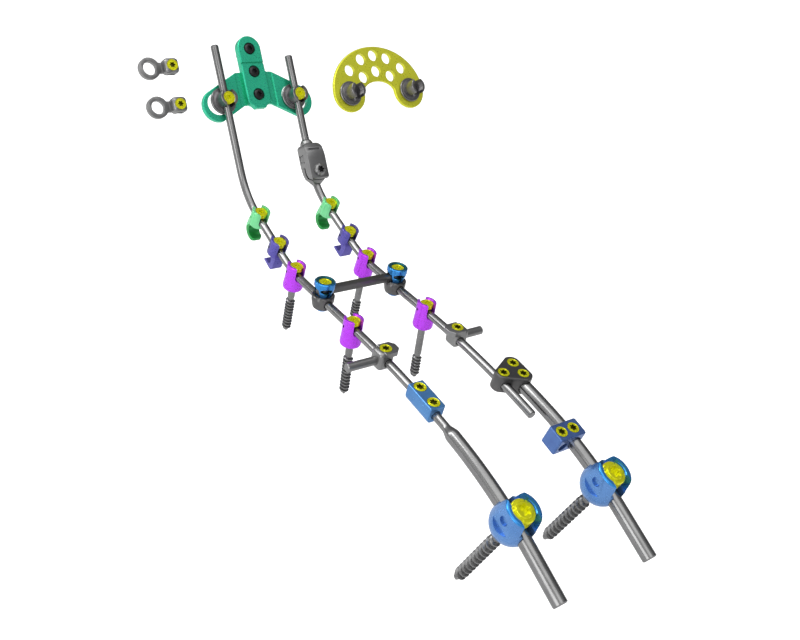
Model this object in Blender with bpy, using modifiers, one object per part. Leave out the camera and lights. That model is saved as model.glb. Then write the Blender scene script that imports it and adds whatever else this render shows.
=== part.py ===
"""Occipito-cervico-thoracic fixation set: two contoured rods carried by an occipital plate,
hooks, polyaxial screws and connectors, with a spare kidney plate and two eyelet connectors.
X is the patient's left to right, Y runs cranially, Z runs dorsally. The origin lies on the
bone side of the occipital plate, in the midline."""
import math

import bmesh
import bpy
from mathutils import Matrix, Vector

for old in list(bpy.data.objects):
    bpy.data.objects.remove(old, do_unlink=True)

mm = 0.001
parts = bpy.data.collections.new("spinal_fixation_system")
bpy.context.scene.collection.children.link(parts)

# Shared clearances
fit = 0.3 * mm
skin = 0.05 * mm

# Rods
rodRadius = 1.75 * mm
thickRodRadius = 2.75 * mm
railX = 18.15 * mm
parallelOffset = 7.5 * mm
occipitalTilt = math.radians(55.2)
rodHeight = 5.5 * mm
rodAbovePlate = 15.3 * mm
rodRuns = (
    (55.2 * mm, 22.4 * mm, math.radians(36.3)),
    (24.0 * mm, 21.0 * mm, math.radians(18.25)),
    (39.2 * mm, 65.2 * mm, math.radians(-9.75)),
    (0.0, 46.6 * mm, math.radians(-15.5)),
)
rodEnd = 291.8 * mm
bendStep = math.radians(6)
ringGap = 14.0 * mm
rodChamfer = 0.35 * mm
leftRodTop = -1.6 * mm
rightRodTop = 4.1 * mm

# Places along the rods, measured from a point near the cranial tip of the left rod
clampStation = 22.6 * mm
hingeStation = 52.9 * mm
laminaStation = 79.3 * mm
pedicleHookStation = 97.7 * mm
upperScrewStation = 114.2 * mm
crossStation = 136.5 * mm
lowerScrewStation = 158.8 * mm
leftOffsetStation = 180.5 * mm
rightOffsetStation = 178.9 * mm
inlineStation = 207.1 * mm
parallelStation = 207.9 * mm
thinRodEnd = 227.4 * mm
taperStart = 220.5 * mm
taperEnd = 225.0 * mm
sideStation = 240.1 * mm
thoracicStation = 261.6 * mm

# Set screws and tulips for the thin rods
plugRadius = 2.7 * mm
plugRise = 3.9 * mm
tulipRadius = 4.0 * mm
tulipRise = 4.6 * mm
driveShare = 0.45
driveDepth = 1.1 * mm
dimpleRadius = 0.65 * mm
dimpleDepth = 0.45 * mm

# Occipital plate, in its own plane
wingThickness = 2.4 * mm
barThickness = 3.6 * mm
barHalf = 5.7 * mm
barTop = 21.6 * mm
barFoot = 12.7 * mm
screwPitch = 10.5 * mm
wingEndX = 20.6 * mm
wingEndY = -8.9 * mm
wingEndRadius = 7.3 * mm
wingSlotRadius = 5.0 * mm
wingSlotInner = 17.3 * mm
foldInner = 6.2 * mm
foldOuter = 8.9 * mm
foldFloor = 1.5 * mm
bendY = 9.1 * mm
bendWidth = 1.0 * mm
bendDepth = 0.6 * mm
occipitalHead = 2.5 * mm
occipitalShank = 1.5 * mm
occipitalReach = 9.5 * mm
flangeRadius = 6.0 * mm
flangeThickness = 0.9 * mm

# Loose pieces lie in the same plane as the occipital plate
kidneyX = 68.9 * mm
kidneyThickness = 1.8 * mm
kidneyHole = 2.8 * mm
kidneyLeg = 9.0 * mm
kidneyRise = 23.0 * mm
kidneyArch = 5.5 * mm
eyeletX = -48.6 * mm
eyeletY = (9.0 * mm, -7.9 * mm)
eyeletRing = 4.7 * mm
eyeletHole = 2.9 * mm
eyeletPlate = 2.0 * mm
eyeletReach = 8.8 * mm
eyeletBlock = 6.6 * mm
eyeletRise = 5.9 * mm

# Hinged rod
housingWidth = 9.3 * mm
housingTop = 6.6 * mm
housingFloor = -1.7 * mm
housingCranial = 6.8 * mm
housingCrown = 7.8 * mm
housingFall = 2.4 * mm
housingHeel = -4.2 * mm
pinRadius = 1.5 * mm
pinLift = 0.7 * mm
tongueRadius = 2.6 * mm
tongueHalf = 1.6 * mm
lockStation = 6.3 * mm
knuckleReach = 13.6 * mm
heelRadius = 4.9 * mm
heelY = -5.7 * mm
heelZ = 7.0 * mm
lockRadius = 2.6 * mm
lockRise = 1.8 * mm

# Hooks
laminaThroat = 5.6 * mm
pedicleThroat = 4.2 * mm
bladeThickness = 1.6 * mm

# Cervical polyaxial screws
bellRadius = 4.35 * mm
bellFloor = -7.4 * mm
ballRadius = 2.7 * mm
ballDrop = 5.0 * mm
neckRadius = 1.55 * mm
shankRadius = 2.0 * mm
crownShare = 0.82
fullThreadStart = 7.4 * mm
partThreadStart = 16.0 * mm
leftUpperLength = 24.7 * mm
leftLowerLength = 26.1 * mm
rightUpperLength = 27.0 * mm
rightLowerLength = 27.6 * mm
upperLean = math.radians(-4.0)
lowerLean = math.radians(-2.5)
swing = math.radians(30)

# Thoracic polyaxial screws
headRadius = 8.0 * mm
headRise = 8.6 * mm
headFlat = 6.4 * mm
bowlCentre = -1.0 * mm
bigBall = 3.6 * mm
bigBallDrop = 6.0 * mm
bigNeck = 1.7 * mm
bigShank = 2.5 * mm
bigCrownShare = 0.55
bigThreadStart = 5.2 * mm
bigLength = 39.7 * mm
medialLean = math.radians(1.0)
bigPlug = 4.6 * mm
bigPlugRise = 7.0 * mm
bossRadius = 3.5 * mm
bossRise = 8.4 * mm

# Cross link
capRadius = 4.4 * mm
capTop = 9.2 * mm
capFloor = 6.4 * mm
coreRadius = 3.2 * mm
coreFloor = -4.2 * mm
collarRadius = 4.7 * mm
collarFoot = 3.9 * mm
collarTop = 3.0 * mm
collarFloor = -2.8 * mm
barWidth = 3.0 * mm
barHeight = 3.0 * mm

# Block connectors
blockRise = 3.9 * mm
blockDrop = 3.2 * mm
inlineLength = 14.6 * mm
inlineWidth = 6.8 * mm
inlinePitch = 8.5 * mm
sideLength = 7.4 * mm
sideGap = 5.9 * mm
parallelPitch = 6.4 * mm
offsetLength = 6.8 * mm
offsetPlate = 5.2 * mm
leftStub = 16.8 * mm
rightStub = 13.7 * mm
offsetHalf = 3.5 * mm
cupAngles = (295, 65)

finishes = {
    "teal": ((0.03, 0.42, 0.25), 0.35, 0.6),
    "mint": ((0.18, 0.72, 0.34), 0.35, 0.6),
    "violet": ((0.10, 0.09, 0.40), 0.35, 0.6),
    "magenta": ((0.50, 0.05, 0.85), 0.30, 0.6),
    "blue": ((0.10, 0.25, 0.60), 0.30, 0.7),
    "yellow": ((0.60, 0.62, 0.02), 0.30, 0.6),
    "steel": ((0.22, 0.22, 0.23), 0.30, 1.0),
    "dark": ((0.08, 0.08, 0.085), 0.40, 1.0),
    "black": ((0.025, 0.025, 0.027), 0.40, 0.9),
}


# Geometry of the rod path
def rodPoint(s):
    """Sagittal position (y, z) and heading of the rod path at length s from its cranial tip."""
    across = Vector((-math.sin(occipitalTilt), math.cos(occipitalTilt)))
    place = Vector((math.cos(occipitalTilt), math.sin(occipitalTilt))) * rodAbovePlate
    place += across * rodHeight
    heading = occipitalTilt
    left = s
    for straight, bend, turn in rodRuns:
        run = min(left, straight)
        place -= Vector((math.cos(heading), math.sin(heading))) * run
        left -= run
        arc = min(left, bend)
        if arc > 0:
            after = heading - turn * arc / bend
            radius = bend / turn
            place -= Vector((math.sin(heading) - math.sin(after), math.cos(after) - math.cos(heading))) * radius
            heading = after
            left -= arc
        if left <= 0:
            return place, heading
    place -= Vector((math.cos(heading), math.sin(heading))) * left
    return place, heading


def rodStations(start, end):
    """Lengths at which the rod needs a ring: its ends, where bends begin and end, and within bends."""
    stations = [start, end]
    reached = 0
    for straight, bend, turn in rodRuns:
        reached += straight
        count = max(round(abs(turn) / bendStep), round(bend / ringGap))
        stations += [reached + bend * i / count for i in range(count + 1)]
        reached += bend
    near = 2 * rodChamfer
    inner = sorted({round(s, 7) for s in stations if start + near < s < end - near})
    return [start, start + rodChamfer] + inner + [end - rodChamfer, end]


def seat(obj, x, s, lift=0.0, along=0.0):
    """Puts a piece on the rod path at station s, its own Y along the rod and Z dorsal."""
    place, heading = rodPoint(s)
    turn = Matrix.Rotation(heading, 4, "X")
    obj.matrix_world = Matrix.Translation((x, place.x, place.y)) @ turn @ Matrix.Translation((0, along, lift))
    return obj


def riseOf(s, station):
    """How far dorsally the rod path at s lies from the straight line through a station."""
    place, heading = rodPoint(station)
    far = rodPoint(s)[0] - place
    return far.y * math.cos(heading) - far.x * math.sin(heading)


def layOnPlate(obj, x, y, z=0.0):
    """Puts a piece in the plane of the occipital plate."""
    turn = Matrix.Rotation(occipitalTilt, 4, "X")
    obj.matrix_world = turn @ Matrix.Translation((x, y, z))
    return obj


# Modelling helpers
def addObject(name, mesh):
    obj = bpy.data.objects.new(name, mesh)
    parts.objects.link(obj)
    return obj


def paint(obj, finish):
    colour, roughness, metallic = finishes[finish]
    material = bpy.data.materials.new(obj.name)
    material.use_nodes = True
    shader = material.node_tree.nodes["Principled BSDF"]
    shader.inputs["Base Color"].default_value = (*colour, 1)
    shader.inputs["Roughness"].default_value = roughness
    shader.inputs["Metallic"].default_value = metallic
    obj.data.materials.clear()
    obj.data.materials.append(material)
    return obj


def settle(obj):
    """Replaces an object's modifiers or curve by the mesh that they make."""
    graph = bpy.context.evaluated_depsgraph_get()
    mesh = bpy.data.meshes.new_from_object(obj.evaluated_get(graph))
    bm = bmesh.new()
    bm.from_mesh(mesh)
    bmesh.ops.remove_doubles(bm, verts=bm.verts, dist=1e-6)
    bm.to_mesh(mesh)
    bm.free()
    name, place = obj.name, obj.matrix_world.copy()
    bpy.data.objects.remove(obj, do_unlink=True)
    made = addObject(name, mesh)
    made.matrix_world = place
    return made


def joinBy(obj, other, operation):
    """Cuts or joins two solids that share a frame, and removes the second."""
    boolean = obj.modifiers.new(operation.lower(), "BOOLEAN")
    boolean.operation = operation
    boolean.solver = "EXACT"
    boolean.object = other
    bpy.context.view_layer.update()
    made = settle(obj)
    bpy.data.objects.remove(other, do_unlink=True)
    return made


def cut(obj, *tools):
    for tool in tools:
        obj = joinBy(obj, tool, "DIFFERENCE")
    return obj


def fuse(obj, *others):
    for other in others:
        obj = joinBy(obj, other, "UNION")
    return obj


def turned(name, profile, steps=12, closed=False):
    """Solid of revolution about Z; the profile runs down the outer side."""
    mesh = bpy.data.meshes.new(name)
    edges = [(i, i + 1) for i in range(len(profile) - 1)]
    if closed:
        edges.append((len(profile) - 1, 0))
    mesh.from_pydata([(r, 0, z) for r, z in profile], edges, [])
    obj = addObject(name, mesh)
    screw = obj.modifiers.new("turn", "SCREW")
    screw.steps = screw.render_steps = steps
    screw.use_merge_vertices = True
    screw.merge_threshold = 1e-6
    return settle(obj)


def rodSolid(name, start, end, radiusAt, x=0.0, rings=()):
    """Bent rod along the shared path, as a bevelled curve with chamfered ends."""
    curve = bpy.data.curves.new(name, "CURVE")
    curve.dimensions = "3D"
    curve.bevel_depth = 1
    curve.bevel_resolution = 4
    curve.use_fill_caps = True
    stations = sorted({*rodStations(start, end), *rings})
    spline = curve.splines.new("POLY")
    spline.points.add(len(stations) - 1)
    for point, s in zip(spline.points, stations):
        place, heading = rodPoint(s)
        point.co = (x, place.x, place.y, 1)
        atEnd = s in (stations[0], stations[-1])
        point.radius = radiusAt(s) - (rodChamfer if atEnd else 0)
    return settle(addObject(name, curve))


def prism(name, outline, low, high, plane="XY"):
    """Extrudes a closed outline from low to high along the axis that the plane lacks."""
    curve = bpy.data.curves.new(name, "CURVE")
    curve.dimensions = "2D"
    curve.fill_mode = "BOTH"
    curve.extrude = (high - low) / 2
    spline = curve.splines.new("POLY")
    spline.points.add(len(outline) - 1)
    for point, (a, b) in zip(spline.points, outline):
        point.co = (a, b, 0, 1)
    spline.use_cyclic_u = True
    obj = settle(addObject(name, curve))
    middle = (low + high) / 2
    axes = {
        "XY": Matrix(((1, 0, 0, 0), (0, 1, 0, 0), (0, 0, 1, middle), (0, 0, 0, 1))),
        "YZ": Matrix(((0, 0, 1, middle), (1, 0, 0, 0), (0, 1, 0, 0), (0, 0, 0, 1))),
        "ZX": Matrix(((0, 1, 0, 0), (0, 0, 1, middle), (1, 0, 0, 0), (0, 0, 0, 1))),
    }
    obj.data.transform(axes[plane])
    return obj


def box(name, low, high, bevel=0.0):
    mesh = bpy.data.meshes.new(name)
    bm = bmesh.new()
    bmesh.ops.create_cube(bm, size=1)
    size = Vector(high) - Vector(low)
    bmesh.ops.scale(bm, vec=size, verts=bm.verts)
    bmesh.ops.translate(bm, vec=(Vector(low) + Vector(high)) / 2, verts=bm.verts)
    bm.to_mesh(mesh)
    bm.free()
    obj = addObject(name, mesh)
    if bevel:
        edge = obj.modifiers.new("edge", "BEVEL")
        edge.width = bevel
        edge.segments = 1
        return settle(obj)
    return obj


def drum(name, radius, low, high, axis="Z", centre=(0, 0, 0), sides=12):
    """Cylinder along an axis, from low to high, with a flat facing each way."""
    mesh = bpy.data.meshes.new(name)
    bm = bmesh.new()
    bmesh.ops.create_cone(bm, cap_ends=True, segments=sides, radius1=radius, radius2=radius, depth=high - low)
    bmesh.ops.rotate(bm, matrix=Matrix.Rotation(math.pi / sides, 3, "Z"), verts=bm.verts)
    bmesh.ops.translate(bm, vec=(0, 0, (low + high) / 2), verts=bm.verts)
    turn = {"X": Matrix.Rotation(math.pi / 2, 3, "Y"), "Y": Matrix.Rotation(-math.pi / 2, 3, "X")}
    if axis in turn:
        bmesh.ops.rotate(bm, matrix=turn[axis], verts=bm.verts)
    bmesh.ops.translate(bm, vec=centre, verts=bm.verts)
    bm.to_mesh(mesh)
    bm.free()
    return addObject(name, mesh)


def arc(cx, cy, radius, start, end, count, squash=1.0):
    """Points on an arc from start to end, in degrees."""
    angles = [math.radians(start + (end - start) * i / count) for i in range(count + 1)]
    return [(cx + radius * math.cos(a), cy + radius * squash * math.sin(a)) for a in angles]


def mirrored(half):
    """Closes an outline given for x > 0 by its mirror image."""
    return half + [(-x, y) for x, y in reversed(half)]


def copyOf(obj, name):
    return addObject(name, obj.data.copy())


def finishPiece(obj, name, finish):
    obj.name = name
    obj.data.name = name
    obj.data.shade_smooth()
    obj.data.set_sharp_from_angle(angle=math.radians(35))
    return paint(obj, finish)


# Fasteners and rod channels
def plug(name, radius, low, high, steps=10):
    """Set screw: a plug with a drive recess in its top."""
    recess = radius * driveShare
    depth = min(driveDepth, 0.6 * (high - low))
    return turned(name, [
        (0, high - depth),
        (recess, high - depth),
        (recess, high),
        (radius, high),
        (radius, low),
        (0, low),
    ], steps)


def rodChannel(name, radius, rise, reach):
    """U-shaped channel along Y, open at the top."""
    outline = [(rise, -radius)] + arc(0, 0, radius, 270, 90, 6) + [(rise, radius)]
    return prism(name, outline, -reach, reach, "ZX")


def dimples(obj, half, rise, radius=dimpleRadius):
    """Instrument dimples on both lateral sides."""
    for side in (-1, 1):
        low, high = sorted((side * (half - dimpleDepth), side * (half + 2 * mm)))
        obj = cut(obj, drum("dimple", radius, low, high, "X", (0, 0, rise), 6))
    return obj


def thinPlug(name):
    return plug(name, plugRadius, rodRadius + fit, plugRise)


def tulipBore():
    return drum("bore", plugRadius + fit, 0.6 * mm, tulipRise + 2 * mm)


# Occipital plate
def wingOutline(sign):
    """One wing in the plane of the plate, from inside the bar round its slotted end."""
    top = [(3 * mm, 5.2 * mm), (8.4 * mm, 5.2 * mm)]
    end = arc(wingEndX, wingEndY, wingEndRadius, 62, -100, 8)
    foot = [(7.4 * mm, -10.8 * mm), (3 * mm, -10.8 * mm)]
    outline = top + end + foot
    if sign < 0:
        outline = [(-x, y) for x, y in reversed(outline)]
    return outline


def wingSlot(sign):
    outline = arc(wingEndX, wingEndY + 0.7 * mm, wingSlotRadius, 70, -100, 6)
    outline += arc(wingSlotInner, -clampDrop() + 0.8 * mm, wingSlotRadius, 250, 80, 5)
    outline = [(sign * x, y) for x, y in outline]
    return prism("slot", outline, -1 * mm, wingThickness + 1 * mm)


def clampDrop():
    """How far below the origin the rod clamps sit, along the plate."""
    return clampStation - rodAbovePlate


def occipitalPlate():
    half = arc(0, barTop - barHalf, barHalf, 90, 0, 6)[1:]
    half += [(barHalf, -barFoot + 2.8 * mm), (3.2 * mm, -barFoot)]
    bar = prism("occipital_plate", mirrored(half), 0, barThickness)
    edge = bar.modifiers.new("edge", "BEVEL")
    edge.width = 0.7 * mm
    edge.segments = 1
    edge.limit_method = "ANGLE"
    edge.angle_limit = math.radians(50)
    plate = settle(bar)
    for sign in (-1, 1):
        wing = prism("wing", wingOutline(sign), skin, wingThickness)
        plate = fuse(plate, wing)
    for sign in (-1, 1):
        low, high = sorted((sign * foldInner, sign * foldOuter))
        fold = box("fold", (low, -2 * barFoot, foldFloor), (high, barFoot, 2 * barThickness))
        plate = cut(plate, wingSlot(sign), fold)
    bend = (bendY - bendWidth / 2, bendY + bendWidth / 2)
    groove = box("bend", (-2 * barHalf, bend[0], barThickness - bendDepth), (2 * barHalf, bend[1], 2 * barThickness))
    plate = cut(plate, groove)
    for y in screwRows():
        seatDepth = barThickness - 1.6 * mm
        hole = drum("hole", occipitalShank + fit, -1 * mm, barThickness + 1 * mm, centre=(0, y, 0))
        sink = drum("sink", occipitalHead + fit, seatDepth, barThickness + 1 * mm, centre=(0, y, 0))
        plate = cut(plate, hole, sink)
    layOnPlate(plate, 0, 0)
    return finishPiece(plate, "occipital_plate", "teal")


def screwRows():
    """The three screws: the origin lies midway between the lower two."""
    return [screwPitch * (i - 0.5) for i in range(3)]


def occipitalScrews():
    base = barThickness - 1.6 * mm + fit
    crown = barThickness + 0.5 * mm
    socket = occipitalHead * driveShare
    profile = [
        (0, crown - 1.0 * mm),
        (socket, crown - 1.0 * mm),
        (socket, crown),
        (occipitalHead - 0.9 * mm, crown),
        (occipitalHead, crown - 0.7 * mm),
        (occipitalHead, base),
        (occipitalShank, base),
        (occipitalShank, -occipitalReach + 1.8 * mm),
        (0.3 * mm, -occipitalReach),
        (0, -occipitalReach),
    ]
    made = []
    for label, y in zip(("lower", "middle", "upper"), screwRows()):
        screw = turned("occipital_screw", profile, 10)
        layOnPlate(screw, 0, y)
        made.append(finishPiece(screw, "occipital_screw_" + label, "black"))
    return made


def plateClamp(name, x, y, floor):
    """Rod clamp on a round flange; its stem drops through the plate's slot."""
    seatTop = floor + fit
    profile = [
        (0, rodHeight + tulipRise),
        (tulipRadius, rodHeight + tulipRise),
        (tulipRadius + 0.2 * mm, seatTop + flangeThickness),
        (flangeRadius - 0.3 * mm, seatTop + flangeThickness),
        (flangeRadius, seatTop + flangeThickness - 0.3 * mm),
        (flangeRadius, seatTop),
        (wingSlotRadius - 0.5 * mm, seatTop),
        (wingSlotRadius - 0.5 * mm, 0.3 * mm),
        (0, 0.3 * mm),
    ]
    clamp = turned(name, profile)
    channel = rodChannel("channel", rodRadius + fit, 8 * mm, 9 * mm)
    bore = tulipBore()
    for tool in (channel, bore):
        tool.data.transform(Matrix.Translation((0, 0, rodHeight)))
    clamp = cut(clamp, channel, bore)
    layOnPlate(clamp, x, y)
    return finishPiece(clamp, name, "dark")


# Loose plate and connectors
def kidneyPlate():
    half = arc(0, 0, railX + kidneyLeg, 90, 0, 10, kidneyRise / (railX + kidneyLeg))[1:]
    half += arc(railX, 0, kidneyLeg, 0, -180, 8)[1:]
    half += arc(0, 0, railX - kidneyLeg, 0, 90, 5, kidneyArch / (railX - kidneyLeg))[1:-1]
    plate = prism("kidney_plate", mirrored(half), 0, kidneyThickness)
    outer = [(x * 7.8 * mm, 18.4 * mm - abs(x) ** 2 * 1.72 * mm) for x in (-2, -1, 0, 1, 2)]
    inner = [(x * 8.2 * mm, 10.5 * mm - abs(x) * 2.7 * mm) for x in (-1, 0, 1)]
    for x, y in outer + inner:
        plate = cut(plate, drum("hole", kidneyHole, -1 * mm, kidneyThickness + 1 * mm, centre=(x, y, 0), sides=9))
    for side in (-1, 1):
        stem = (side * railX, 0, 0)
        plate = cut(plate, drum("seat", wingSlotRadius, -1 * mm, kidneyThickness + 1 * mm, centre=stem))
    layOnPlate(plate, kidneyX, -clampDrop())
    return finishPiece(plate, "kidney_plate", "yellow")


def eyelet(name, y):
    """Ring with a rod block beside it, its set screw in place."""
    ring = drum("ring", eyeletRing, 0, eyeletPlate, sides=16)
    neck = box("neck", (2 * mm, -2.3 * mm, skin), (eyeletReach, 2.3 * mm, eyeletPlate - skin))
    half = eyeletBlock / 2
    block = box("block", (eyeletReach - half, -half, -skin), (eyeletReach + half, half, eyeletRise), 1.0 * mm)
    obj = fuse(ring, neck, block)
    axis = eyeletRise / 2 - 0.6 * mm
    obj = cut(obj, drum("hole", eyeletHole, -2 * mm, 4 * mm))
    obj = cut(obj, drum("bore", rodRadius, -8 * mm, 8 * mm, "Y", (eyeletReach, 0, axis)))
    screw = plug("screw", 2.4 * mm, eyeletRise - 1.2 * mm, eyeletRise + 0.2 * mm)
    screw.data.transform(Matrix.Translation((eyeletReach, 0, 0)))
    obj = fuse(obj, screw)
    layOnPlate(obj, eyeletX, y)
    return finishPiece(obj, name, "steel")


# Rods
def rods():
    left = rodSolid("left_rod", leftRodTop, inlineStation - 0.4 * mm, lambda s: rodRadius, -railX)
    finishPiece(left, "left_rod", "steel")
    growth = (thickRodRadius - rodRadius) / (taperEnd - taperStart)
    taper = lambda s: rodRadius + growth * min(max(s - taperStart, 0), taperEnd - taperStart)
    shoulder = (taperStart, taperEnd)
    tapered = rodSolid("left_tapered_rod", inlineStation + 0.4 * mm, rodEnd, taper, -railX, shoulder)
    finishPiece(tapered, "left_tapered_rod", "steel")
    start = parallelStation - parallelPitch / 2 - 3.3 * mm
    thick = rodSolid("right_thoracic_rod", start, rodEnd, lambda s: thickRodRadius, railX + parallelOffset)
    finishPiece(thick, "right_thoracic_rod", "steel")


def hinge():
    """Upper rod with its housing, lower rod with its tongue, the pin and the locking screw."""
    half = housingWidth / 2
    place, heading = rodPoint(hingeStation)
    crown = (housingCrown ** 2 + housingFall ** 2) / (2 * housingFall)
    sweep = math.degrees(math.asin(housingCrown / crown))
    profile = arc(housingCranial - housingCrown, housingTop - crown, crown, 90, 90 - sweep, 4)
    profile += arc(housingCranial - 1 * mm, housingFloor + 1 * mm, 1 * mm, 0, -90, 2)
    profile += [(housingHeel, housingFloor), (housingHeel, heelZ - heelRadius + skin)]
    profile += arc(heelY, heelZ, heelRadius, 275, 195, 5)
    profile += [(heelY - heelRadius + 0.1 * mm, housingTop - 0.8 * mm), (heelY - heelRadius + 0.8 * mm, housingTop)]
    housing = prism("housing", profile, -half, half, "YZ")
    slotHalf = rodRadius + fit
    slotTop = pinLift + tongueRadius + fit
    caudal = heelY - heelRadius
    slot = box("slot", (-slotHalf, caudal - 2 * mm, -6 * mm), (slotHalf, tongueRadius + fit, slotTop))
    pinBore = drum("bore", pinRadius + fit / 2, -6 * mm, 6 * mm, "X", (0, 0, pinLift))
    lockBore = drum("lock", lockRadius, 1 * mm, 9 * mm, centre=(0, -lockStation, 0))
    housing = cut(housing, slot, pinBore, lockBore)
    stem = drum("stem", rodRadius, 6 * mm, hingeStation - rightRodTop - rodChamfer, "Y")
    housing = fuse(housing, stem)
    seat(housing, railX, hingeStation)
    finishPiece(housing, "right_upper_rod", "steel")

    rod = rodSolid("right_rod", hingeStation + 1.5 * mm, thinRodEnd, lambda s: rodRadius)
    local = Matrix.Translation((0, place.x, place.y)) @ Matrix.Rotation(heading, 4, "X")
    rod.data.transform(local.inverted())
    tongue = drum("tongue", tongueRadius, -tongueHalf, tongueHalf, "X", (0, 0, pinLift), 14)
    rise = riseOf(hingeStation + knuckleReach, hingeStation)
    gap = heelRadius + fit
    knuckle = arc(heelY, heelZ, gap, 281, 215, 4)
    knuckle += [
        (caudal - 0.6 * mm, rise + rodRadius + 0.4 * mm),
        (-knuckleReach, rise + 0.7 * rodRadius),
        (-knuckleReach, rise - 0.7 * rodRadius),
        (caudal + 0.8 * mm, 0.3 * mm),
        (heelY - 1.5 * mm, -0.5 * mm),
        (knuckle[0][0], housingFloor + 0.5 * mm),
    ]
    knuckle = prism("knuckle", knuckle, -half, half, "YZ")
    for side in (-1, 1):
        wide, far, near = side * (half + 1 * mm), -knuckleReach - 2 * mm, caudal + 2 * mm
        wedge = [(wide, near), (wide, far), (side * 0.5 * mm, far), (side * half, near)]
        knuckle = cut(knuckle, prism("taper", wedge[::-side], -9 * mm, 9 * mm))
    rod = fuse(rod, tongue, knuckle)
    rod = cut(rod, drum("eye", pinRadius + fit / 2, -5 * mm, 5 * mm, "X", (0, 0, pinLift)))
    seat(rod, railX, hingeStation)
    finishPiece(rod, "right_rod", "steel")

    pin = drum("pin", pinRadius, -half + skin, half - skin, "X", (0, 0, pinLift))
    seat(pin, railX, hingeStation)
    finishPiece(pin, "hinge_pin", "steel")
    bend = riseOf(hingeStation + lockStation + lockRadius, hingeStation)
    lock = plug("lock", lockRadius - fit, rodRadius + fit + bend, housingTop + lockRise)
    seat(lock, railX, hingeStation, along=-lockStation)
    finishPiece(lock, "hinge_lock_screw", "dark")


# Hooks
def hookHead(name, outline, half):
    """Rod clamp with a hook below it, the hook given by its sagittal outline."""
    head = turned(name, [
        (0, tulipRise),
        (tulipRadius, tulipRise),
        (tulipRadius, -3.2 * mm),
        (0, -3.2 * mm),
    ])
    head = fuse(head, prism("blade", outline, -half, half, "YZ"))
    head = cut(head, rodChannel("channel", rodRadius + fit, 8 * mm, 9 * mm), tulipBore())
    return dimples(head, tulipRadius, 0.4 * mm)


def laminaHook(name, x):
    """Broad hook whose throat opens caudally."""
    y, z, inner, outer = -1.2 * mm, -6.5 * mm, laminaThroat / 2, laminaThroat / 2 + bladeThickness
    outline = [(-3.0 * mm, -1.0 * mm), (3.4 * mm, -1.0 * mm)]
    outline += arc(y + 0.8 * mm, z, outer, 10, -90, 6)
    outline += [(-4.0 * mm, z - outer + 0.2 * mm), (-4.4 * mm, z - inner - 0.6 * mm), (-3.8 * mm, z - inner)]
    outline += arc(y, z, inner, -90, 90, 6)
    outline += [(-3.0 * mm, z + inner)]
    hook = hookHead(name, outline[::-1], 2.7 * mm)
    seat(hook, x, laminaStation)
    return finishPiece(hook, name, "mint")


def pedicleHook(name, x):
    """Narrow hook whose throat opens cranially."""
    y, z, inner = 0.6 * mm, -6.6 * mm, pedicleThroat / 2
    foot = z - inner - 1.4 * mm
    outline = [(3.2 * mm, -1.0 * mm), (-3.3 * mm, -1.0 * mm), (-3.9 * mm, -3.0 * mm)]
    outline += arc(-2.1 * mm, foot + 1.8 * mm, 1.8 * mm, 180, 270, 4)
    outline += [(2.8 * mm, foot + 0.2 * mm), (3.3 * mm, foot + 0.8 * mm), (2.6 * mm, foot + 1.4 * mm)]
    outline += arc(y, z, inner, -90, -270, 6)
    outline += [(3.2 * mm, z + inner)]
    hook = hookHead(name, outline, 2.4 * mm)
    seat(hook, x, pedicleHookStation)
    return finishPiece(hook, name, "violet")


# Polyaxial screws
def relief(drop, ball, neck, floor, bore, lipShare=0.5):
    """Inner side of a head from its floor up to the widest part of its ball seat."""
    reach = ball + fit
    lip = lipShare * ball
    lipRadius = lip * math.tan(swing) + neck / math.cos(swing) + fit / 2
    lipRadius = max(lipRadius, math.sqrt(ball ** 2 - lip ** 2) + fit / 2)
    lipRadius = min(lipRadius, math.sqrt(reach ** 2 - lip ** 2) - 0.05 * mm)
    depth = -drop - floor
    mouth = max(depth * math.tan(swing) + neck / math.cos(swing) + fit, lipRadius)
    points = [(mouth, floor), (lipRadius, -drop - lip)]
    start = -math.asin(lip / reach)
    points += [(reach * math.cos(start * (1 - i / 2)), -drop + reach * math.sin(start * (1 - i / 2))) for i in range(3)]
    return points + [(bore, -drop + 1.2 * mm)]


def cervicalHead(name):
    bore = plugRadius + fit
    profile = [
        (tulipRadius - 0.2 * mm, tulipRise),
        (tulipRadius, tulipRise - 0.3 * mm),
        (bellRadius, bellFloor + 1.2 * mm),
        (bellRadius - 0.4 * mm, bellFloor),
    ]
    profile += relief(ballDrop, ballRadius, neckRadius, bellFloor, bore)
    profile += [(bore, tulipRise)]
    head = turned(name, profile, closed=True)
    head = cut(head, rodChannel("channel", rodRadius + fit, 8 * mm, 9 * mm))
    return dimples(head, tulipRadius, 1.0 * mm)


def boneScrew(name, ball, neck, shank, threadStart, length, crownShare, steps=10):
    """Ball-headed screw, its ball's centre at the origin and its shank down Z."""
    crown = crownShare * ball
    profile = [(0, crown - 0.35 * ball), (0.42 * ball, crown - 0.35 * ball), (0.45 * ball, crown)]
    top = math.degrees(math.asin(crownShare))
    low = -math.degrees(math.acos(neck / ball))
    count = 4
    profile += [(ball * math.cos(math.radians(top + (low - top) * i / count)),
                 ball * math.sin(math.radians(top + (low - top) * i / count))) for i in range(count + 1)]
    profile += [
        (neck, -threadStart),
        (shank, -threadStart - 0.6 * mm),
        (shank, -length + 1.6 * shank),
        (0.4 * shank, -length),
        (0, -length),
    ]
    return turned(name, profile, steps)


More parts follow.
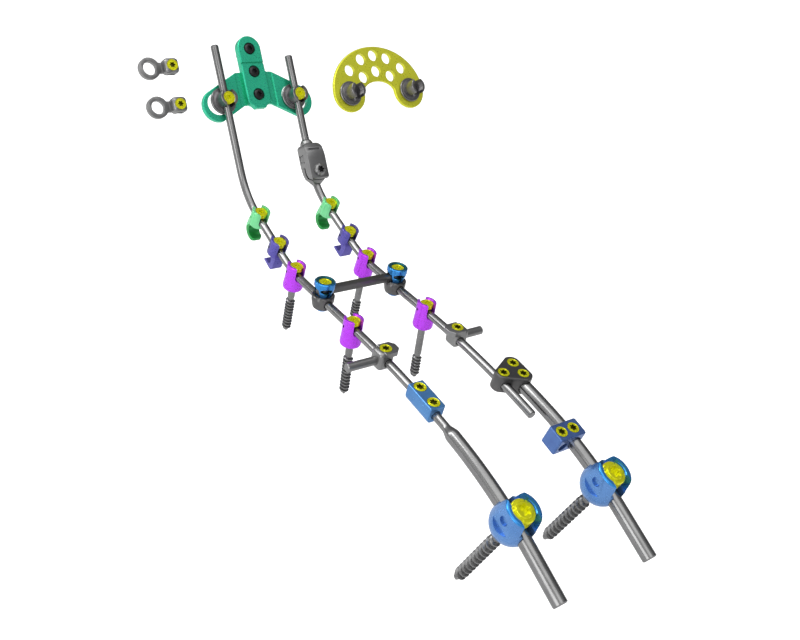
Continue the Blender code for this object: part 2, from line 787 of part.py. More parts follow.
def cervicalScrews():
    sites = (
        ("left_upper", -railX, upperScrewStation, fullThreadStart, leftUpperLength, upperLean),
        ("right_upper", railX, upperScrewStation, partThreadStart, rightUpperLength, upperLean),
        ("left_lower", -railX, lowerScrewStation, fullThreadStart, leftLowerLength, lowerLean),
        ("right_lower", railX, lowerScrewStation, partThreadStart, rightLowerLength, lowerLean),
    )
    pattern = cervicalHead("head")
    for site, x, station, threadStart, length, lean in sites:
        head = seat(copyOf(pattern, "head"), x, station)
        finishPiece(head, "cervical_head_" + site, "magenta")
        screw = boneScrew("screw", ballRadius, neckRadius, shankRadius, threadStart, length, crownShare)
        seat(screw, x, station, lift=-ballDrop)
        screw.matrix_world = screw.matrix_world @ Matrix.Rotation(lean, 4, "X")
        finishPiece(screw, "cervical_screw_" + site, "dark")
        cap = seat(thinPlug("plug"), x, station)
        finishPiece(cap, "cervical_set_screw_" + site, "yellow")
    bpy.data.objects.remove(pattern, do_unlink=True)


def thoracicHead(name):
    bore = bigPlug + fit
    profile = [
        (headRadius - 0.5 * mm, headRise),
        (headRadius, headRise - 0.5 * mm),
    ]
    profile += arc(0, bowlCentre, headRadius, 0, -58, 4)
    floor = profile[-1][1]
    profile += relief(bigBallDrop, bigBall, bigNeck, floor, bore, 0.45)
    profile += [(bore, headRise)]
    head = turned(name, profile, 16, closed=True)
    for side in (-1, 1):
        low, high = sorted((side * headFlat, side * (headRadius + 2 * mm)))
        head = cut(head, box("flat", (low, -12 * mm, -20 * mm), (high, 12 * mm, 20 * mm)))
    head = cut(head, rodChannel("channel", thickRodRadius + fit, 14 * mm, 14 * mm))
    return dimples(head, headFlat, 4.6 * mm, 1.3 * mm)


def thoracicScrews():
    pattern = thoracicHead("head")
    for site, x, medial in (("left", -railX, medialLean), ("right", railX + parallelOffset, -medialLean)):
        head = seat(copyOf(pattern, "head"), x, thoracicStation)
        finishPiece(head, "thoracic_head_" + site, "blue")
        screw = boneScrew("screw", bigBall, bigNeck, bigShank, bigThreadStart, bigLength, bigCrownShare, 12)
        seat(screw, x, thoracicStation, lift=-bigBallDrop)
        screw.matrix_world = screw.matrix_world @ Matrix.Rotation(medial, 4, "Y")
        finishPiece(screw, "thoracic_screw_" + site, "dark")
        cap = turned("plug", [
            (0, bossRise - 1.6 * mm),
            (0.6 * bossRadius, bossRise - 1.6 * mm),
            (0.6 * bossRadius, bossRise),
            (bossRadius, bossRise),
            (bossRadius, bigPlugRise),
            (bigPlug, bigPlugRise - 0.2 * mm),
            (bigPlug, thickRodRadius + fit),
            (0, thickRodRadius + fit),
        ], 16)
        seat(cap, x, thoracicStation)
        finishPiece(cap, "thoracic_set_screw_" + site, "yellow")
    bpy.data.objects.remove(pattern, do_unlink=True)


# Cross link
def crossLink():
    barTopZ = capFloor - fit
    barFloorZ = barTopZ - barHeight
    reach = railX + coreRadius
    bar = box("bar", (-reach, -barWidth / 2, barFloorZ), (reach, barWidth / 2, barTopZ), 0.3 * mm)
    seat(bar, 0, crossStation)
    finishPiece(bar, "cross_bar", "dark")
    core = turned("core", [
        (0, capTop),
        (capRadius, capTop),
        (capRadius, capFloor + 0.3 * mm),
        (capRadius - 0.4 * mm, capFloor - 0.1 * mm),
        (coreRadius, capFloor - 0.5 * mm),
        (coreRadius, coreFloor + 0.8 * mm),
        (coreRadius - 0.8 * mm, coreFloor),
        (0, coreFloor),
    ])
    slot = box("slot", (-9 * mm, -barWidth / 2 - fit, barFloorZ - fit), (9 * mm, barWidth / 2 + fit, capFloor))
    channel = drum("rod", rodRadius + fit, -9 * mm, 9 * mm, "Y")
    bore = drum("bore", 2.3 * mm + fit, capFloor - 0.5 * mm, capTop + 1 * mm)
    core = cut(core, slot, channel, bore)
    inner = coreRadius + fit
    collar = turned("collar", [
        (collarRadius, collarTop),
        (collarRadius, collarTop - 2.2 * mm),
        (collarFoot, collarFloor),
        (inner, collarFloor),
        (inner, collarTop),
    ], closed=True)
    collar = cut(collar, drum("rod", rodRadius + fit, -9 * mm, 9 * mm, "Y"))
    for site, x in (("left", -railX), ("right", railX)):
        finishPiece(seat(copyOf(core, "core"), x, crossStation), "crosslink_clamp_" + site, "blue")
        finishPiece(seat(copyOf(collar, "collar"), x, crossStation), "crosslink_collar_" + site, "dark")
        screw = plug("plug", 2.3 * mm, capFloor + fit / 2, capTop - 0.1 * mm)
        finishPiece(seat(screw, x, crossStation), "crosslink_set_screw_" + site, "yellow")
    bpy.data.objects.remove(core, do_unlink=True)
    bpy.data.objects.remove(collar, do_unlink=True)


# Connectors
def offsetConnector(name, x, station, stub, side):
    """Block round the rod, a stub rod to one side of it and an angular plate to the other."""
    half = offsetHalf
    outline = arc(0, 0, half, *cupAngles, 7)
    block = prism(name, outline, -offsetLength / 2, offsetLength / 2, "ZX")
    width = offsetLength / 2 + skin
    plan = [(-side * offsetPlate, 1.6 * mm), (-side * (offsetPlate - 1.8 * mm), width)]
    plan += [(side * (half - 1 * mm), width), (side * (half + 0.1 * mm), width - 1 * mm)]
    plan += [(x, -y) for x, y in reversed(plan)]
    block = fuse(block, prism("plate", plan[::-side], 1.0 * mm, blockRise))
    low, high = sorted((side * 2.6 * mm, side * stub))
    block = fuse(block, drum("stub", rodRadius, low, high, "X"))
    block = cut(block, drum("bore", rodRadius + fit, -9 * mm, 9 * mm, "Y"))
    block = cut(block, drum("thread", plugRadius + fit, 1 * mm, 9 * mm))
    seat(block, x, station)
    finishPiece(block, name, "dark")
    screw = plug("plug", plugRadius, rodRadius + fit, blockRise + 0.3 * mm)
    seat(screw, x, station)
    finishPiece(screw, name.replace("connector", "set_screw"), "yellow")


def blockScrew(x, y, radius=plugRadius, rise=blockRise):
    """Set screw of a block connector, left standing proud of its top."""
    screw = plug("screw", radius, rise - 1.3 * mm, rise + 0.25 * mm)
    screw.data.transform(Matrix.Translation((x, y, 0)))
    return screw


def inlineConnector():
    half = inlineWidth / 2
    outline = [(blockRise, -half), (-0.6 * mm, -half)]
    outline += arc(-blockDrop + 2.4 * mm, 0, 2.4 * mm, 230, 130, 4)
    outline += [(-0.6 * mm, half), (blockRise, half)]
    block = prism("inline", outline, -inlineLength / 2, inlineLength / 2, "ZX")
    edge = block.modifiers.new("edge", "BEVEL")
    edge.width = 0.4 * mm
    edge.segments = 1
    edge.limit_method = "ANGLE"
    edge.angle_limit = math.radians(60)
    block = settle(block)
    block = cut(block, drum("bore", rodRadius + fit, -9 * mm, 9 * mm, "Y"))
    block = fuse(block, blockScrew(0, inlinePitch / 2), blockScrew(0, -inlinePitch / 2))
    seat(block, -railX, inlineStation)
    return finishPiece(block, "inline_connector", "blue")


def parallelConnector():
    """Three-screw block that joins the thin rod to the thick one beside it."""
    rise = 4.4 * mm
    drop = -3.3 * mm
    corner = 3.3 * mm
    far = parallelPitch / 2
    outline = arc(0, 0, corner, 235, 125, 4)
    outline += arc(parallelOffset, far, corner + 0.6 * mm, 105, 20, 3)
    outline += arc(parallelOffset, -far, corner + 0.6 * mm, -20, -105, 3)
    block = prism("parallel", outline, drop, rise)
    edge = block.modifiers.new("edge", "BEVEL")
    edge.width = 0.5 * mm
    edge.segments = 1
    edge.limit_method = "ANGLE"
    edge.angle_limit = math.radians(60)
    block = settle(block)
    block = cut(block, drum("thin", rodRadius + fit, -14 * mm, 14 * mm, "Y"))
    block = cut(block, drum("thick", thickRodRadius + fit, -14 * mm, 14 * mm, "Y", (parallelOffset, 0, 0)))
    block = fuse(block, blockScrew(0, 0, 2.3 * mm, rise))
    for y in (-far, far):
        block = fuse(block, blockScrew(parallelOffset, y, 2.3 * mm, rise))
    seat(block, railX, parallelStation)
    return finishPiece(block, "parallel_connector", "dark")


def sideConnector():
    """Side-by-side block on the thick rod, its second bore left empty."""
    rise = 4.6 * mm
    drop = -3.6 * mm
    low = (-sideGap - 3.2 * mm, -sideLength / 2, drop)
    high = (4.0 * mm, sideLength / 2, rise)
    block = box("side", low, high, 0.5 * mm)
    block = cut(block, drum("thick", thickRodRadius + fit, -9 * mm, 9 * mm, "Y"))
    block = cut(block, drum("empty", rodRadius + fit, -9 * mm, 9 * mm, "Y", (-sideGap, 0, 0)))
    block = fuse(block, blockScrew(0, 0, 2.3 * mm, rise), blockScrew(-sideGap, 0, 2.3 * mm, rise))
    seat(block, railX + parallelOffset, sideStation)
    return finishPiece(block, "side_connector", "blue")


def build():
    occipitalPlate()
    occipitalScrews()
    kidneyPlate()
    for side, x in (("left", -railX), ("right", railX)):
        plateClamp("plate_clamp_" + side, x, -clampDrop(), wingThickness)
        cap = seat(thinPlug("plug"), x, clampStation)
        finishPiece(cap, "plate_clamp_set_screw_" + side, "yellow")
        plateClamp("kidney_clamp_" + side, kidneyX + x, -clampDrop(), kidneyThickness)
        laminaHook("lamina_hook_" + side, x)
        finishPiece(seat(thinPlug("plug"), x, laminaStation), "lamina_hook_set_screw_" + side, "yellow")
        pedicleHook("pedicle_hook_" + side, x)
        finishPiece(seat(thinPlug("plug"), x, pedicleHookStation), "pedicle_hook_set_screw_" + side, "yellow")
    eyelet("eyelet_connector_upper", eyeletY[0])
    eyelet("eyelet_connector_lower", eyeletY[1])
    rods()
    hinge()
    cervicalScrews()
    thoracicScrews()
    crossLink()
    offsetConnector("offset_connector_left", -railX, leftOffsetStation, leftStub, -1)
    offsetConnector("offset_connector_right", railX, rightOffsetStation, rightStub, 1)
    inlineConnector()
    parallelConnector()
    sideConnector()


build()
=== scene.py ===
import bpy
import bmesh
import math
from mathutils import Matrix, Vector


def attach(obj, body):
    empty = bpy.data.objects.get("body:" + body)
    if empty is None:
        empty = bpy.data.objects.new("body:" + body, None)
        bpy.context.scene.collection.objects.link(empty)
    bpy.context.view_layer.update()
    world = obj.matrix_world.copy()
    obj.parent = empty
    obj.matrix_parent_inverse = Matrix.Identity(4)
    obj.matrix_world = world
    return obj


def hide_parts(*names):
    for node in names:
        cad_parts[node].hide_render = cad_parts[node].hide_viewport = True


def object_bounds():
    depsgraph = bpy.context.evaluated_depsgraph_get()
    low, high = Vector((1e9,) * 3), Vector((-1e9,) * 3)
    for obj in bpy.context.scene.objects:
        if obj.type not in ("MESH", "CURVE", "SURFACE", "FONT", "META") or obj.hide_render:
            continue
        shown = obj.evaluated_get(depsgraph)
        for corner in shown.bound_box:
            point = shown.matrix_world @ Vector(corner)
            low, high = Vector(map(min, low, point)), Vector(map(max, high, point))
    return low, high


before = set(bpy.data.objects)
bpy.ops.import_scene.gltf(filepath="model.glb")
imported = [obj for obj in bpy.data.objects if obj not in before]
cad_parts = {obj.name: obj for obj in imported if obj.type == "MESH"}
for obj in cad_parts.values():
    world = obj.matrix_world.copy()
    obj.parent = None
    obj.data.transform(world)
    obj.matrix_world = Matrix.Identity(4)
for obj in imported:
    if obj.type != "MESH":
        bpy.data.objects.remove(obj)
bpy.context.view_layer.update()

toMetres = Matrix.Scale(0.001, 4)  # everything below is modelled in millimetres
scene = bpy.context.scene
print("frame loaded:", len(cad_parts), "nodes")


# camera, in metres, at the photograph's angle
cameraSpec = {
    "place": (-0.21046, -0.37138, 0.13557),
    "right": (0.8007, -0.5783, 0.1564),
    "up": (0.1902, 0.493, 0.849),
    "back": (-0.5681, -0.65, 0.5047),
    "lens": 42.04,
}
cameraData = bpy.data.cameras.new("studioCamera")
cameraData.lens = cameraSpec["lens"]
cameraData.sensor_width = 36
cameraData.sensor_fit = "HORIZONTAL"
cameraData.clip_start = 0.01
cameraObject = bpy.data.objects.new("studioCamera", cameraData)
scene.collection.objects.link(cameraObject)
axes = Matrix((cameraSpec["right"], cameraSpec["up"], cameraSpec["back"])).transposed()
cameraObject.matrix_world = Matrix.Translation(cameraSpec["place"]) @ axes.to_4x4()
scene.camera = cameraObject


# the rod path in its own plane, and the stations along it
rodPath = {
    "tilt": 55.2,     # the occipital plate and the first run of rod
    "lift": 5.5,      # rod axis above the bone side of the plate
    "above": 15.3,    # length of path above the origin
    "leftTop": -1.6,
    "rightTop": 4.1,
    "end": 291.8,
    "rail": 18.15,    # half the distance between the rods
    "beside": 7.5,    # thin rod to thick rod
    "runs": ((55.2, 22.4, 36.3), (24.0, 21.0, 18.25), (39.2, 65.2, -9.75), (0.0, 46.6, -15.5)),  # straight, bend, turn
}
stations = {
    "clamp": 22.6, "hinge": 52.9, "lamina": 79.3, "pedicle": 97.7, "upperScrew": 114.2, "cross": 136.5,
    "lowerScrew": 158.8, "leftOffset": 180.5, "rightOffset": 178.9, "inline": 207.1, "parallel": 207.9,
    "thinEnd": 227.4, "taperStart": 220.5, "taperEnd": 225.0, "side": 240.1, "thoracic": 261.6,
}
rail = rodPath["rail"]
thickRail = rail + rodPath["beside"]
rails = (("left", -rail), ("right", rail))
tilt = math.radians(rodPath["tilt"])


def rodPoint(s):
    place = Vector((math.cos(tilt), math.sin(tilt))) * rodPath["above"]
    place += Vector((-math.sin(tilt), math.cos(tilt))) * rodPath["lift"]
    heading, left = tilt, s
    for straight, bend, turn in rodPath["runs"]:
        turn = math.radians(turn)
        run = min(left, straight)
        place -= Vector((math.cos(heading), math.sin(heading))) * run
        left -= run
        arc = min(left, bend)
        if arc > 0:
            after = heading - turn * arc / bend
            radius = bend / turn
            place -= Vector((math.sin(heading) - math.sin(after), math.cos(after) - math.cos(heading))) * radius
            heading = after
            left -= arc
        if left <= 0:
            return place, heading
    return place - Vector((math.cos(heading), math.sin(heading))) * left, heading


def onRod(x, s, lift=0.0, along=0.0):  # x across, y along the rod, z dorsal
    place, heading = rodPoint(s)
    turn = Matrix.Rotation(heading, 4, "X")
    return Matrix.Translation((x, place.x, place.y)) @ turn @ Matrix.Translation((0, along, lift))


def onPlate(x, y, z=0.0):
    return Matrix.Rotation(tilt, 4, "X") @ Matrix.Translation((x, y, z))


clampDrop = stations["clamp"] - rodPath["above"]


# finishes: slow noise shifts the tint, fine noise drives roughness and relief
finish = {"cloudScale": 140.0, "cloudDetail": 3.0, "tintLow": 0.3, "tintHigh": 0.62, "grainDetail": 4.0,
          "polish": 0.05, "wear": 0.07, "relief": 0.00006}


def metal(name, colour, deep, roughness, metallic=1.0, grain=(1.0, 1.0, 1.0), grainScale=900.0, bump=0.02):
    material = bpy.data.materials.new(name)
    material.use_nodes = True
    nodes, links = material.node_tree.nodes, material.node_tree.links
    shader = nodes["Principled BSDF"]
    shader.inputs["Metallic"].default_value = metallic
    coords = nodes.new("ShaderNodeTexCoord")
    mapping = nodes.new("ShaderNodeMapping")
    mapping.inputs["Scale"].default_value = grain
    links.new(coords.outputs["Object"], mapping.inputs["Vector"])
    cloud = nodes.new("ShaderNodeTexNoise")  # slow drift of the tint
    cloud.inputs["Scale"].default_value = finish["cloudScale"]
    cloud.inputs["Detail"].default_value = finish["cloudDetail"]
    links.new(coords.outputs["Object"], cloud.inputs["Vector"])
    tint = nodes.new("ShaderNodeValToRGB")
    tint.color_ramp.elements[0].position = finish["tintLow"]
    tint.color_ramp.elements[0].color = (*deep, 1)
    tint.color_ramp.elements[1].position = finish["tintHigh"]
    tint.color_ramp.elements[1].color = (*colour, 1)
    links.new(cloud.outputs["Fac"], tint.inputs["Fac"])
    links.new(tint.outputs["Color"], shader.inputs["Base Color"])
    fine = nodes.new("ShaderNodeTexNoise")  # machining marks
    fine.inputs["Scale"].default_value = grainScale
    fine.inputs["Detail"].default_value = finish["grainDetail"]
    links.new(mapping.outputs["Vector"], fine.inputs["Vector"])
    spread = nodes.new("ShaderNodeMapRange")
    spread.inputs["To Min"].default_value = roughness - finish["polish"]
    spread.inputs["To Max"].default_value = roughness + finish["wear"]
    links.new(fine.outputs["Fac"], spread.inputs["Value"])
    links.new(spread.outputs["Result"], shader.inputs["Roughness"])
    relief = nodes.new("ShaderNodeBump")
    relief.inputs["Strength"].default_value = bump
    relief.inputs["Distance"].default_value = finish["relief"]
    links.new(fine.outputs["Fac"], relief.inputs["Height"])
    links.new(relief.outputs["Normal"], shader.inputs["Normal"])
    return material


rodSteel = metal("rodSteel", (0.25, 0.25, 0.25), (0.20, 0.20, 0.20), 0.20, 0.95, (1, 0.06, 0.06), 2600, 0.015)
bodySteel = metal("bodySteel", (0.26, 0.26, 0.26), (0.21, 0.21, 0.21), 0.30, 0.9)
darkSteel = metal("darkSteel", (0.13, 0.127, 0.127), (0.10, 0.10, 0.10), 0.30, 0.9)
clampSteel = metal("clampSteel", (0.20, 0.195, 0.20), (0.16, 0.155, 0.16), 0.30, 0.9)
screwSteel = metal("screwSteel", (0.23, 0.23, 0.23), (0.18, 0.18, 0.18), 0.26, 0.9)
# black steel for the occipital screws, also used as painted shade in the dimples, the lock socket and the hinge gap
blackSteelAndShade = metal("blackSteelAndShade", (0.035, 0.035, 0.037), (0.022, 0.022, 0.022), 0.30, 0.8)
tealFinish = metal("tealFinish", (0.035, 0.55, 0.32), (0.03, 0.51, 0.295), 0.27, 0.7)
mintFinish = metal("mintFinish", (0.22, 0.74, 0.34), (0.18, 0.68, 0.29), 0.30, 0.6)
# dark green painted on the hook blade for the shade under it
bladeShade = metal("bladeShade", (0.03, 0.34, 0.08), (0.025, 0.29, 0.06), 0.30, 0.6)
violetFinish = metal("violetFinish", (0.12, 0.10, 0.42), (0.09, 0.08, 0.36), 0.28, 0.6)
magentaFinish = metal("magentaFinish", (0.52, 0.06, 0.88), (0.46, 0.045, 0.80), 0.27, 0.65)
blueFinish = metal("blueFinish", (0.12, 0.27, 0.58), (0.08, 0.21, 0.50), 0.25, 0.7)
sideFinish = metal("sideFinish", (0.095, 0.185, 0.45), (0.07, 0.13, 0.36), 0.24, 0.7)
inlineFinish = metal("inlineFinish", (0.085, 0.25, 0.54), (0.07, 0.21, 0.48), 0.24, 0.65)
# dark olive painted into the plug sockets for the shade in them
socketShade = metal("socketShade", (0.13, 0.13, 0.01), (0.09, 0.09, 0.008), 0.3, 0.7)
skyFinish = metal("skyFinish", (0.04, 0.25, 0.62), (0.03, 0.20, 0.52), 0.22, 0.75)
yellowFinish = metal("yellowFinish", (0.86, 0.86, 0.02), (0.78, 0.78, 0.016), 0.17, 0.7)
# dark teal painted into the cage well and onto its rim for the shade there
wellShade = metal("wellShade", (0.012, 0.13, 0.17), (0.008, 0.10, 0.13), 0.26, 0.7)
plateYellow = metal("plateYellow", (0.72, 0.73, 0.045), (0.67, 0.68, 0.04), 0.28, 0.6)
print("materials ready")

past = 9  # cutting tools reach past the piece


def arc(cx, cy, radius, start, end, count):
    angles = [math.radians(start + (end - start) * i / count) for i in range(count + 1)]
    return [(cx + radius * math.cos(a), cy + radius * math.sin(a)) for a in angles]


def toObject(bm, name="piece"):
    mesh = bpy.data.meshes.new(name)
    bm.to_mesh(mesh)
    bm.free()
    obj = bpy.data.objects.new(name, mesh)
    scene.collection.objects.link(obj)
    return obj


def lathe(profile, steps=48, closed=False):  # profile runs down the outer side, spun about z
    bm = bmesh.new()
    verts = [bm.verts.new((r, 0, z)) for r, z in profile]
    edges = [bm.edges.new(pair) for pair in zip(verts, verts[1:])]
    if closed:
        edges.append(bm.edges.new((verts[-1], verts[0])))
    bmesh.ops.spin(bm, geom=verts + edges, axis=(0, 0, 1), cent=(0, 0, 0), angle=2 * math.pi,
                   steps=steps, use_merge=True)
    bmesh.ops.remove_doubles(bm, verts=bm.verts, dist=1e-5)
    bmesh.ops.recalc_face_normals(bm, faces=bm.faces)
    return toObject(bm)


planes = {
    "XY": Matrix.Identity(4),
    "YZ": Matrix(((0, 0, 1, 0), (1, 0, 0, 0), (0, 1, 0, 0), (0, 0, 0, 1))),
    "ZX": Matrix(((0, 1, 0, 0), (0, 0, 1, 0), (1, 0, 0, 0), (0, 0, 0, 1))),
}


def roundOff(bm, edges, width, segments=3):
    bmesh.ops.bevel(bm, geom=edges, offset=width, segments=segments, profile=0.5, affect="EDGES",
                    clamp_overlap=True, material=-1)


def slab(outline, low, high, plane="XY", rim=0.0, corner=0.0):  # outline extruded along the axis its plane lacks
    bm = bmesh.new()
    face = bm.faces.new([bm.verts.new((a, b, low)) for a, b in outline])
    grown = bmesh.ops.extrude_face_region(bm, geom=[face])
    top = [v for v in grown["geom"] if isinstance(v, bmesh.types.BMVert)]
    bmesh.ops.translate(bm, vec=(0, 0, high - low), verts=top)
    bmesh.ops.recalc_face_normals(bm, faces=bm.faces)
    if corner:
        upright = [e for e in bm.edges if abs(e.verts[0].co.z - e.verts[1].co.z) > 1e-4]
        roundOff(bm, [e for e in upright if e.calc_face_angle(0) > math.radians(35)], corner, 4)
    if rim:
        roundOff(bm, [e for e in bm.edges if abs(e.verts[0].co.z - e.verts[1].co.z) < 1e-4], rim)
    bmesh.ops.transform(bm, matrix=planes[plane], verts=bm.verts)
    bmesh.ops.recalc_face_normals(bm, faces=bm.faces)
    return toObject(bm)


def block(low, high):
    bm = bmesh.new()
    bmesh.ops.create_cube(bm, size=1)
    size = Vector(high) - Vector(low)
    bmesh.ops.scale(bm, vec=size, verts=bm.verts)
    bmesh.ops.translate(bm, vec=(Vector(low) + Vector(high)) / 2, verts=bm.verts)
    return toObject(bm)


identity = Matrix.Identity(4)
turns = {"X": Matrix.Rotation(math.pi / 2, 4, "Y"), "Y": Matrix.Rotation(-math.pi / 2, 4, "X"), "Z": identity}


def rodOf(radius, low, high, axis="Z", centre=(0, 0, 0), sides=40):
    bm = bmesh.new()
    bmesh.ops.create_cone(bm, cap_ends=True, segments=sides, radius1=radius, radius2=radius, depth=high - low)
    bmesh.ops.translate(bm, vec=(0, 0, (low + high) / 2), verts=bm.verts)
    bmesh.ops.transform(bm, matrix=Matrix.Translation(centre) @ turns[axis], verts=bm.verts)
    return toObject(bm)


def bake(obj):
    graph = bpy.context.evaluated_depsgraph_get()
    mesh = bpy.data.meshes.new_from_object(obj.evaluated_get(graph), depsgraph=graph)
    old = obj.data
    obj.modifiers.clear()
    obj.data = mesh
    bpy.data.meshes.remove(old)
    return obj


def boolean(obj, operation, *tools):
    for tool in tools:
        step = obj.modifiers.new("step", "BOOLEAN")
        step.operation = operation
        step.solver = "EXACT"
        step.object = tool
    bake(obj)
    for tool in tools:
        bpy.data.objects.remove(tool, do_unlink=True)
    return obj


def cut(obj, *tools):
    return boolean(obj, "DIFFERENCE", *tools)


def fuse(obj, *tools):
    return boolean(obj, "UNION", *tools)


def shift(obj, x=0.0, y=0.0, z=0.0):
    obj.data.transform(Matrix.Translation((x, y, z)))
    return obj


def soften(obj, width, segments=2, angle=32, weigh=False):  # rounded edges and clean shading
    obj.data.shade_smooth()
    if width:
        edge = obj.modifiers.new("edge", "BEVEL")
        edge.width = width
        edge.segments = segments
        edge.limit_method = "ANGLE"
        edge.angle_limit = math.radians(angle)
        edge.use_clamp_overlap = True
        bake(obj)
    obj.data.set_sharp_from_angle(angle=math.radians(35 if weigh else 20))
    if weigh:
        obj.modifiers.new("weigh", "WEIGHTED_NORMAL").keep_sharp = True
        bake(obj)
    return obj


def put(obj, name, place, material, nodes=(), body="construct", inner=None):
    obj.data.materials.clear()
    obj.data.materials.append(material)
    if inner:  # a second material where the test says so, mostly painted shade in dimples, sockets, gaps and wells and under the hook blade
        obj.data.materials.append(inner[0])
        for face in obj.data.polygons:
            face.material_index = 1 if inner[1](face.center) else 0
    obj.data.transform(toMetres @ place)
    obj.name = name
    obj.data.name = name
    if nodes:
        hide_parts(*nodes)
    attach(obj, body)
    return obj


def copyOf(obj):
    twin = obj.copy()
    twin.data = obj.data.copy()
    scene.collection.objects.link(twin)
    return twin


def drop(*objs):
    for obj in objs:
        bpy.data.objects.remove(obj, do_unlink=True)


def channel(radius, rise, reach):  # open-topped groove for the rod
    outline = [(rise, -radius)] + arc(0, 0, radius, 270, 90, 20) + [(rise, radius)]
    return slab(outline, -reach, reach, "ZX")


def star(radius, low, high, lobes=6, depth=0.16):  # six-lobed driver socket
    outline = []
    for i in range(lobes * 10):
        angle = 2 * math.pi * i / (lobes * 10)
        r = radius * (1 - depth + depth * math.cos(lobes * angle))
        outline.append((r * math.cos(angle), r * math.sin(angle)))
    return slab(outline, low, high)


# rods: a round section swept along the path
def tube(start, end, radiusAt, x, step=2.0, chamfer=0.35, rings=()):
    curve = bpy.data.curves.new("tube", "CURVE")
    curve.dimensions = "3D"
    curve.bevel_depth = 1
    curve.bevel_resolution = 14
    curve.use_fill_caps = True
    count = round((end - start) / step)
    places = {start, start + chamfer, end - chamfer, end, *rings}
    places |= {start + (end - start) * i / count for i in range(1, count)}
    places = sorted(places)
    spline = curve.splines.new("POLY")
    spline.points.add(len(places) - 1)
    for point, s in zip(spline.points, places):
        place, heading = rodPoint(s)
        point.co = (x, place.x, place.y, 1)
        point.radius = radiusAt(s) - (chamfer if s in (start, end) else 0)
    carrier = bpy.data.objects.new("tube", curve)
    scene.collection.objects.link(carrier)
    graph = bpy.context.evaluated_depsgraph_get()
    mesh = bpy.data.meshes.new_from_object(carrier.evaluated_get(graph), depsgraph=graph)
    bpy.data.objects.remove(carrier, do_unlink=True)
    obj = bpy.data.objects.new("tube", mesh)
    scene.collection.objects.link(obj)
    bm = bmesh.new()
    bm.from_mesh(mesh)
    bmesh.ops.remove_doubles(bm, verts=bm.verts, dist=1e-5)
    bmesh.ops.recalc_face_normals(bm, faces=bm.faces)
    bm.to_mesh(mesh)
    bm.free()
    mesh.shade_smooth()
    mesh.set_sharp_from_angle(angle=math.radians(30))
    return obj


rods = {"thin": 1.75, "thick": 2.75, "gap": 0.4, "ringStep": 0.45, "overlap": 6.5}


def taperRadius(s):
    share = min(max((s - stations["taperStart"]) / (stations["taperEnd"] - stations["taperStart"]), 0), 1)
    share = share * share * (3 - 2 * share)
    return rods["thin"] + (rods["thick"] - rods["thin"]) * share


thinRadius = lambda s: rods["thin"]
thickRadius = lambda s: rods["thick"]
left = tube(rodPath["leftTop"], stations["inline"] - rods["gap"], thinRadius, -rail)
put(left, "leftRod", identity, rodSteel, ("left_rod",))
shoulderRings = [stations["taperStart"] + rods["ringStep"] * i for i in range(12)]
tapered = tube(stations["inline"] + rods["gap"], rodPath["end"], taperRadius, -rail, rings=shoulderRings)
put(tapered, "leftTaperedRod", identity, rodSteel, ("left_tapered_rod",))
thick = tube(stations["parallel"] - rods["overlap"], rodPath["end"], thickRadius, thickRail)
put(thick, "rightThickRod", identity, rodSteel, ("right_thoracic_rod",))
print("rods done")


# the hinged rod: an arched housing turns on the tongue of the lower rod and is locked by a screw
hinge = {
    "half": 4.65, "top": 6.6, "floor": -1.7, "cranial": 6.8, "crown": 7.8, "fall": 2.4, "step": -4.2, "toe": 1,
    "heelY": -5.7, "heelZ": 7.0, "heel": 4.9, "rim": 0.85, "frontCorner": 2.4, "backCorner": 1.6,
    "pinLift": 0.7, "pin": 1.5, "tongue": 2.6, "tongueHalf": 1.6, "gap": 0.3,
    "groove": (2.9, 3.3, 4.2, 4.7), "stake": 0.36, "stakeRing": 2.3,
    "lock": 6.3, "lockBore": 2.6, "lockRise": 1.8, "lockEnd": 2.8, "socket": 1.65, "socketDepth": 1.2,
    "reach": 12.4, "shell": 5.65, "shellRim": 0.35, "upperEnd": 6, "lowerStart": 1.5,
    "collar": ((0, 9.2), (1.8, 9.2), (2.5, 8.5), (3.0, 7.4), (3.0, 5.5), (0, 5.5)),
}
h = hinge
caudal = h["heelY"] - h["heel"]
crown = (h["crown"] ** 2 + h["fall"] ** 2) / (2 * h["fall"])  # radius of the arched back
sweep = math.degrees(math.asin(h["crown"] / crown))
profile = arc(h["cranial"] - h["crown"], h["top"] - crown, crown, 90, 90 - sweep, 10)
profile += arc(h["cranial"] - h["toe"], h["floor"] + h["toe"], h["toe"], 0, -90, 5)
profile += [(h["step"], h["floor"]), (h["step"], h["heelZ"] - h["heel"] + 0.05)]
profile += arc(h["heelY"], h["heelZ"], h["heel"], 275, 195, 12)
profile += [(caudal + 0.1, h["top"] - 0.8), (caudal + 0.8, h["top"])]
housing = slab(profile, -h["half"], h["half"], "YZ", rim=h["rim"])
front, back = h["frontCorner"], h["backCorner"]
plan = arc(h["half"] - front, h["cranial"] - front, front, 90, 0, 8)
plan += arc(h["half"] - back, caudal + back, back, 0, -90, 6)
boolean(housing, "INTERSECT", slab(plan + [(-x, y) for x, y in reversed(plan)], -past, 12))
soften(housing, 0)
slotHalf = rods["thin"] + h["gap"]
slotTop = h["pinLift"] + h["tongue"] + h["gap"]
slotTool = block((-slotHalf, caudal - 2, -6), (slotHalf, h["tongue"] + h["gap"], slotTop))
grooveHalf, grooveBack, grooveFront, grooveFloor = h["groove"]
groove = block((-grooveHalf, grooveBack, grooveFloor), (grooveHalf, grooveFront, past))
pinBore = rodOf(h["pin"] + 0.15, -6, 6, "X", (0, 0, h["pinLift"]))
lockWell = rodOf(h["lockBore"], 1, past, centre=(0, -h["lock"], 0))
cut(housing, slotTool, groove, pinBore, lockWell)
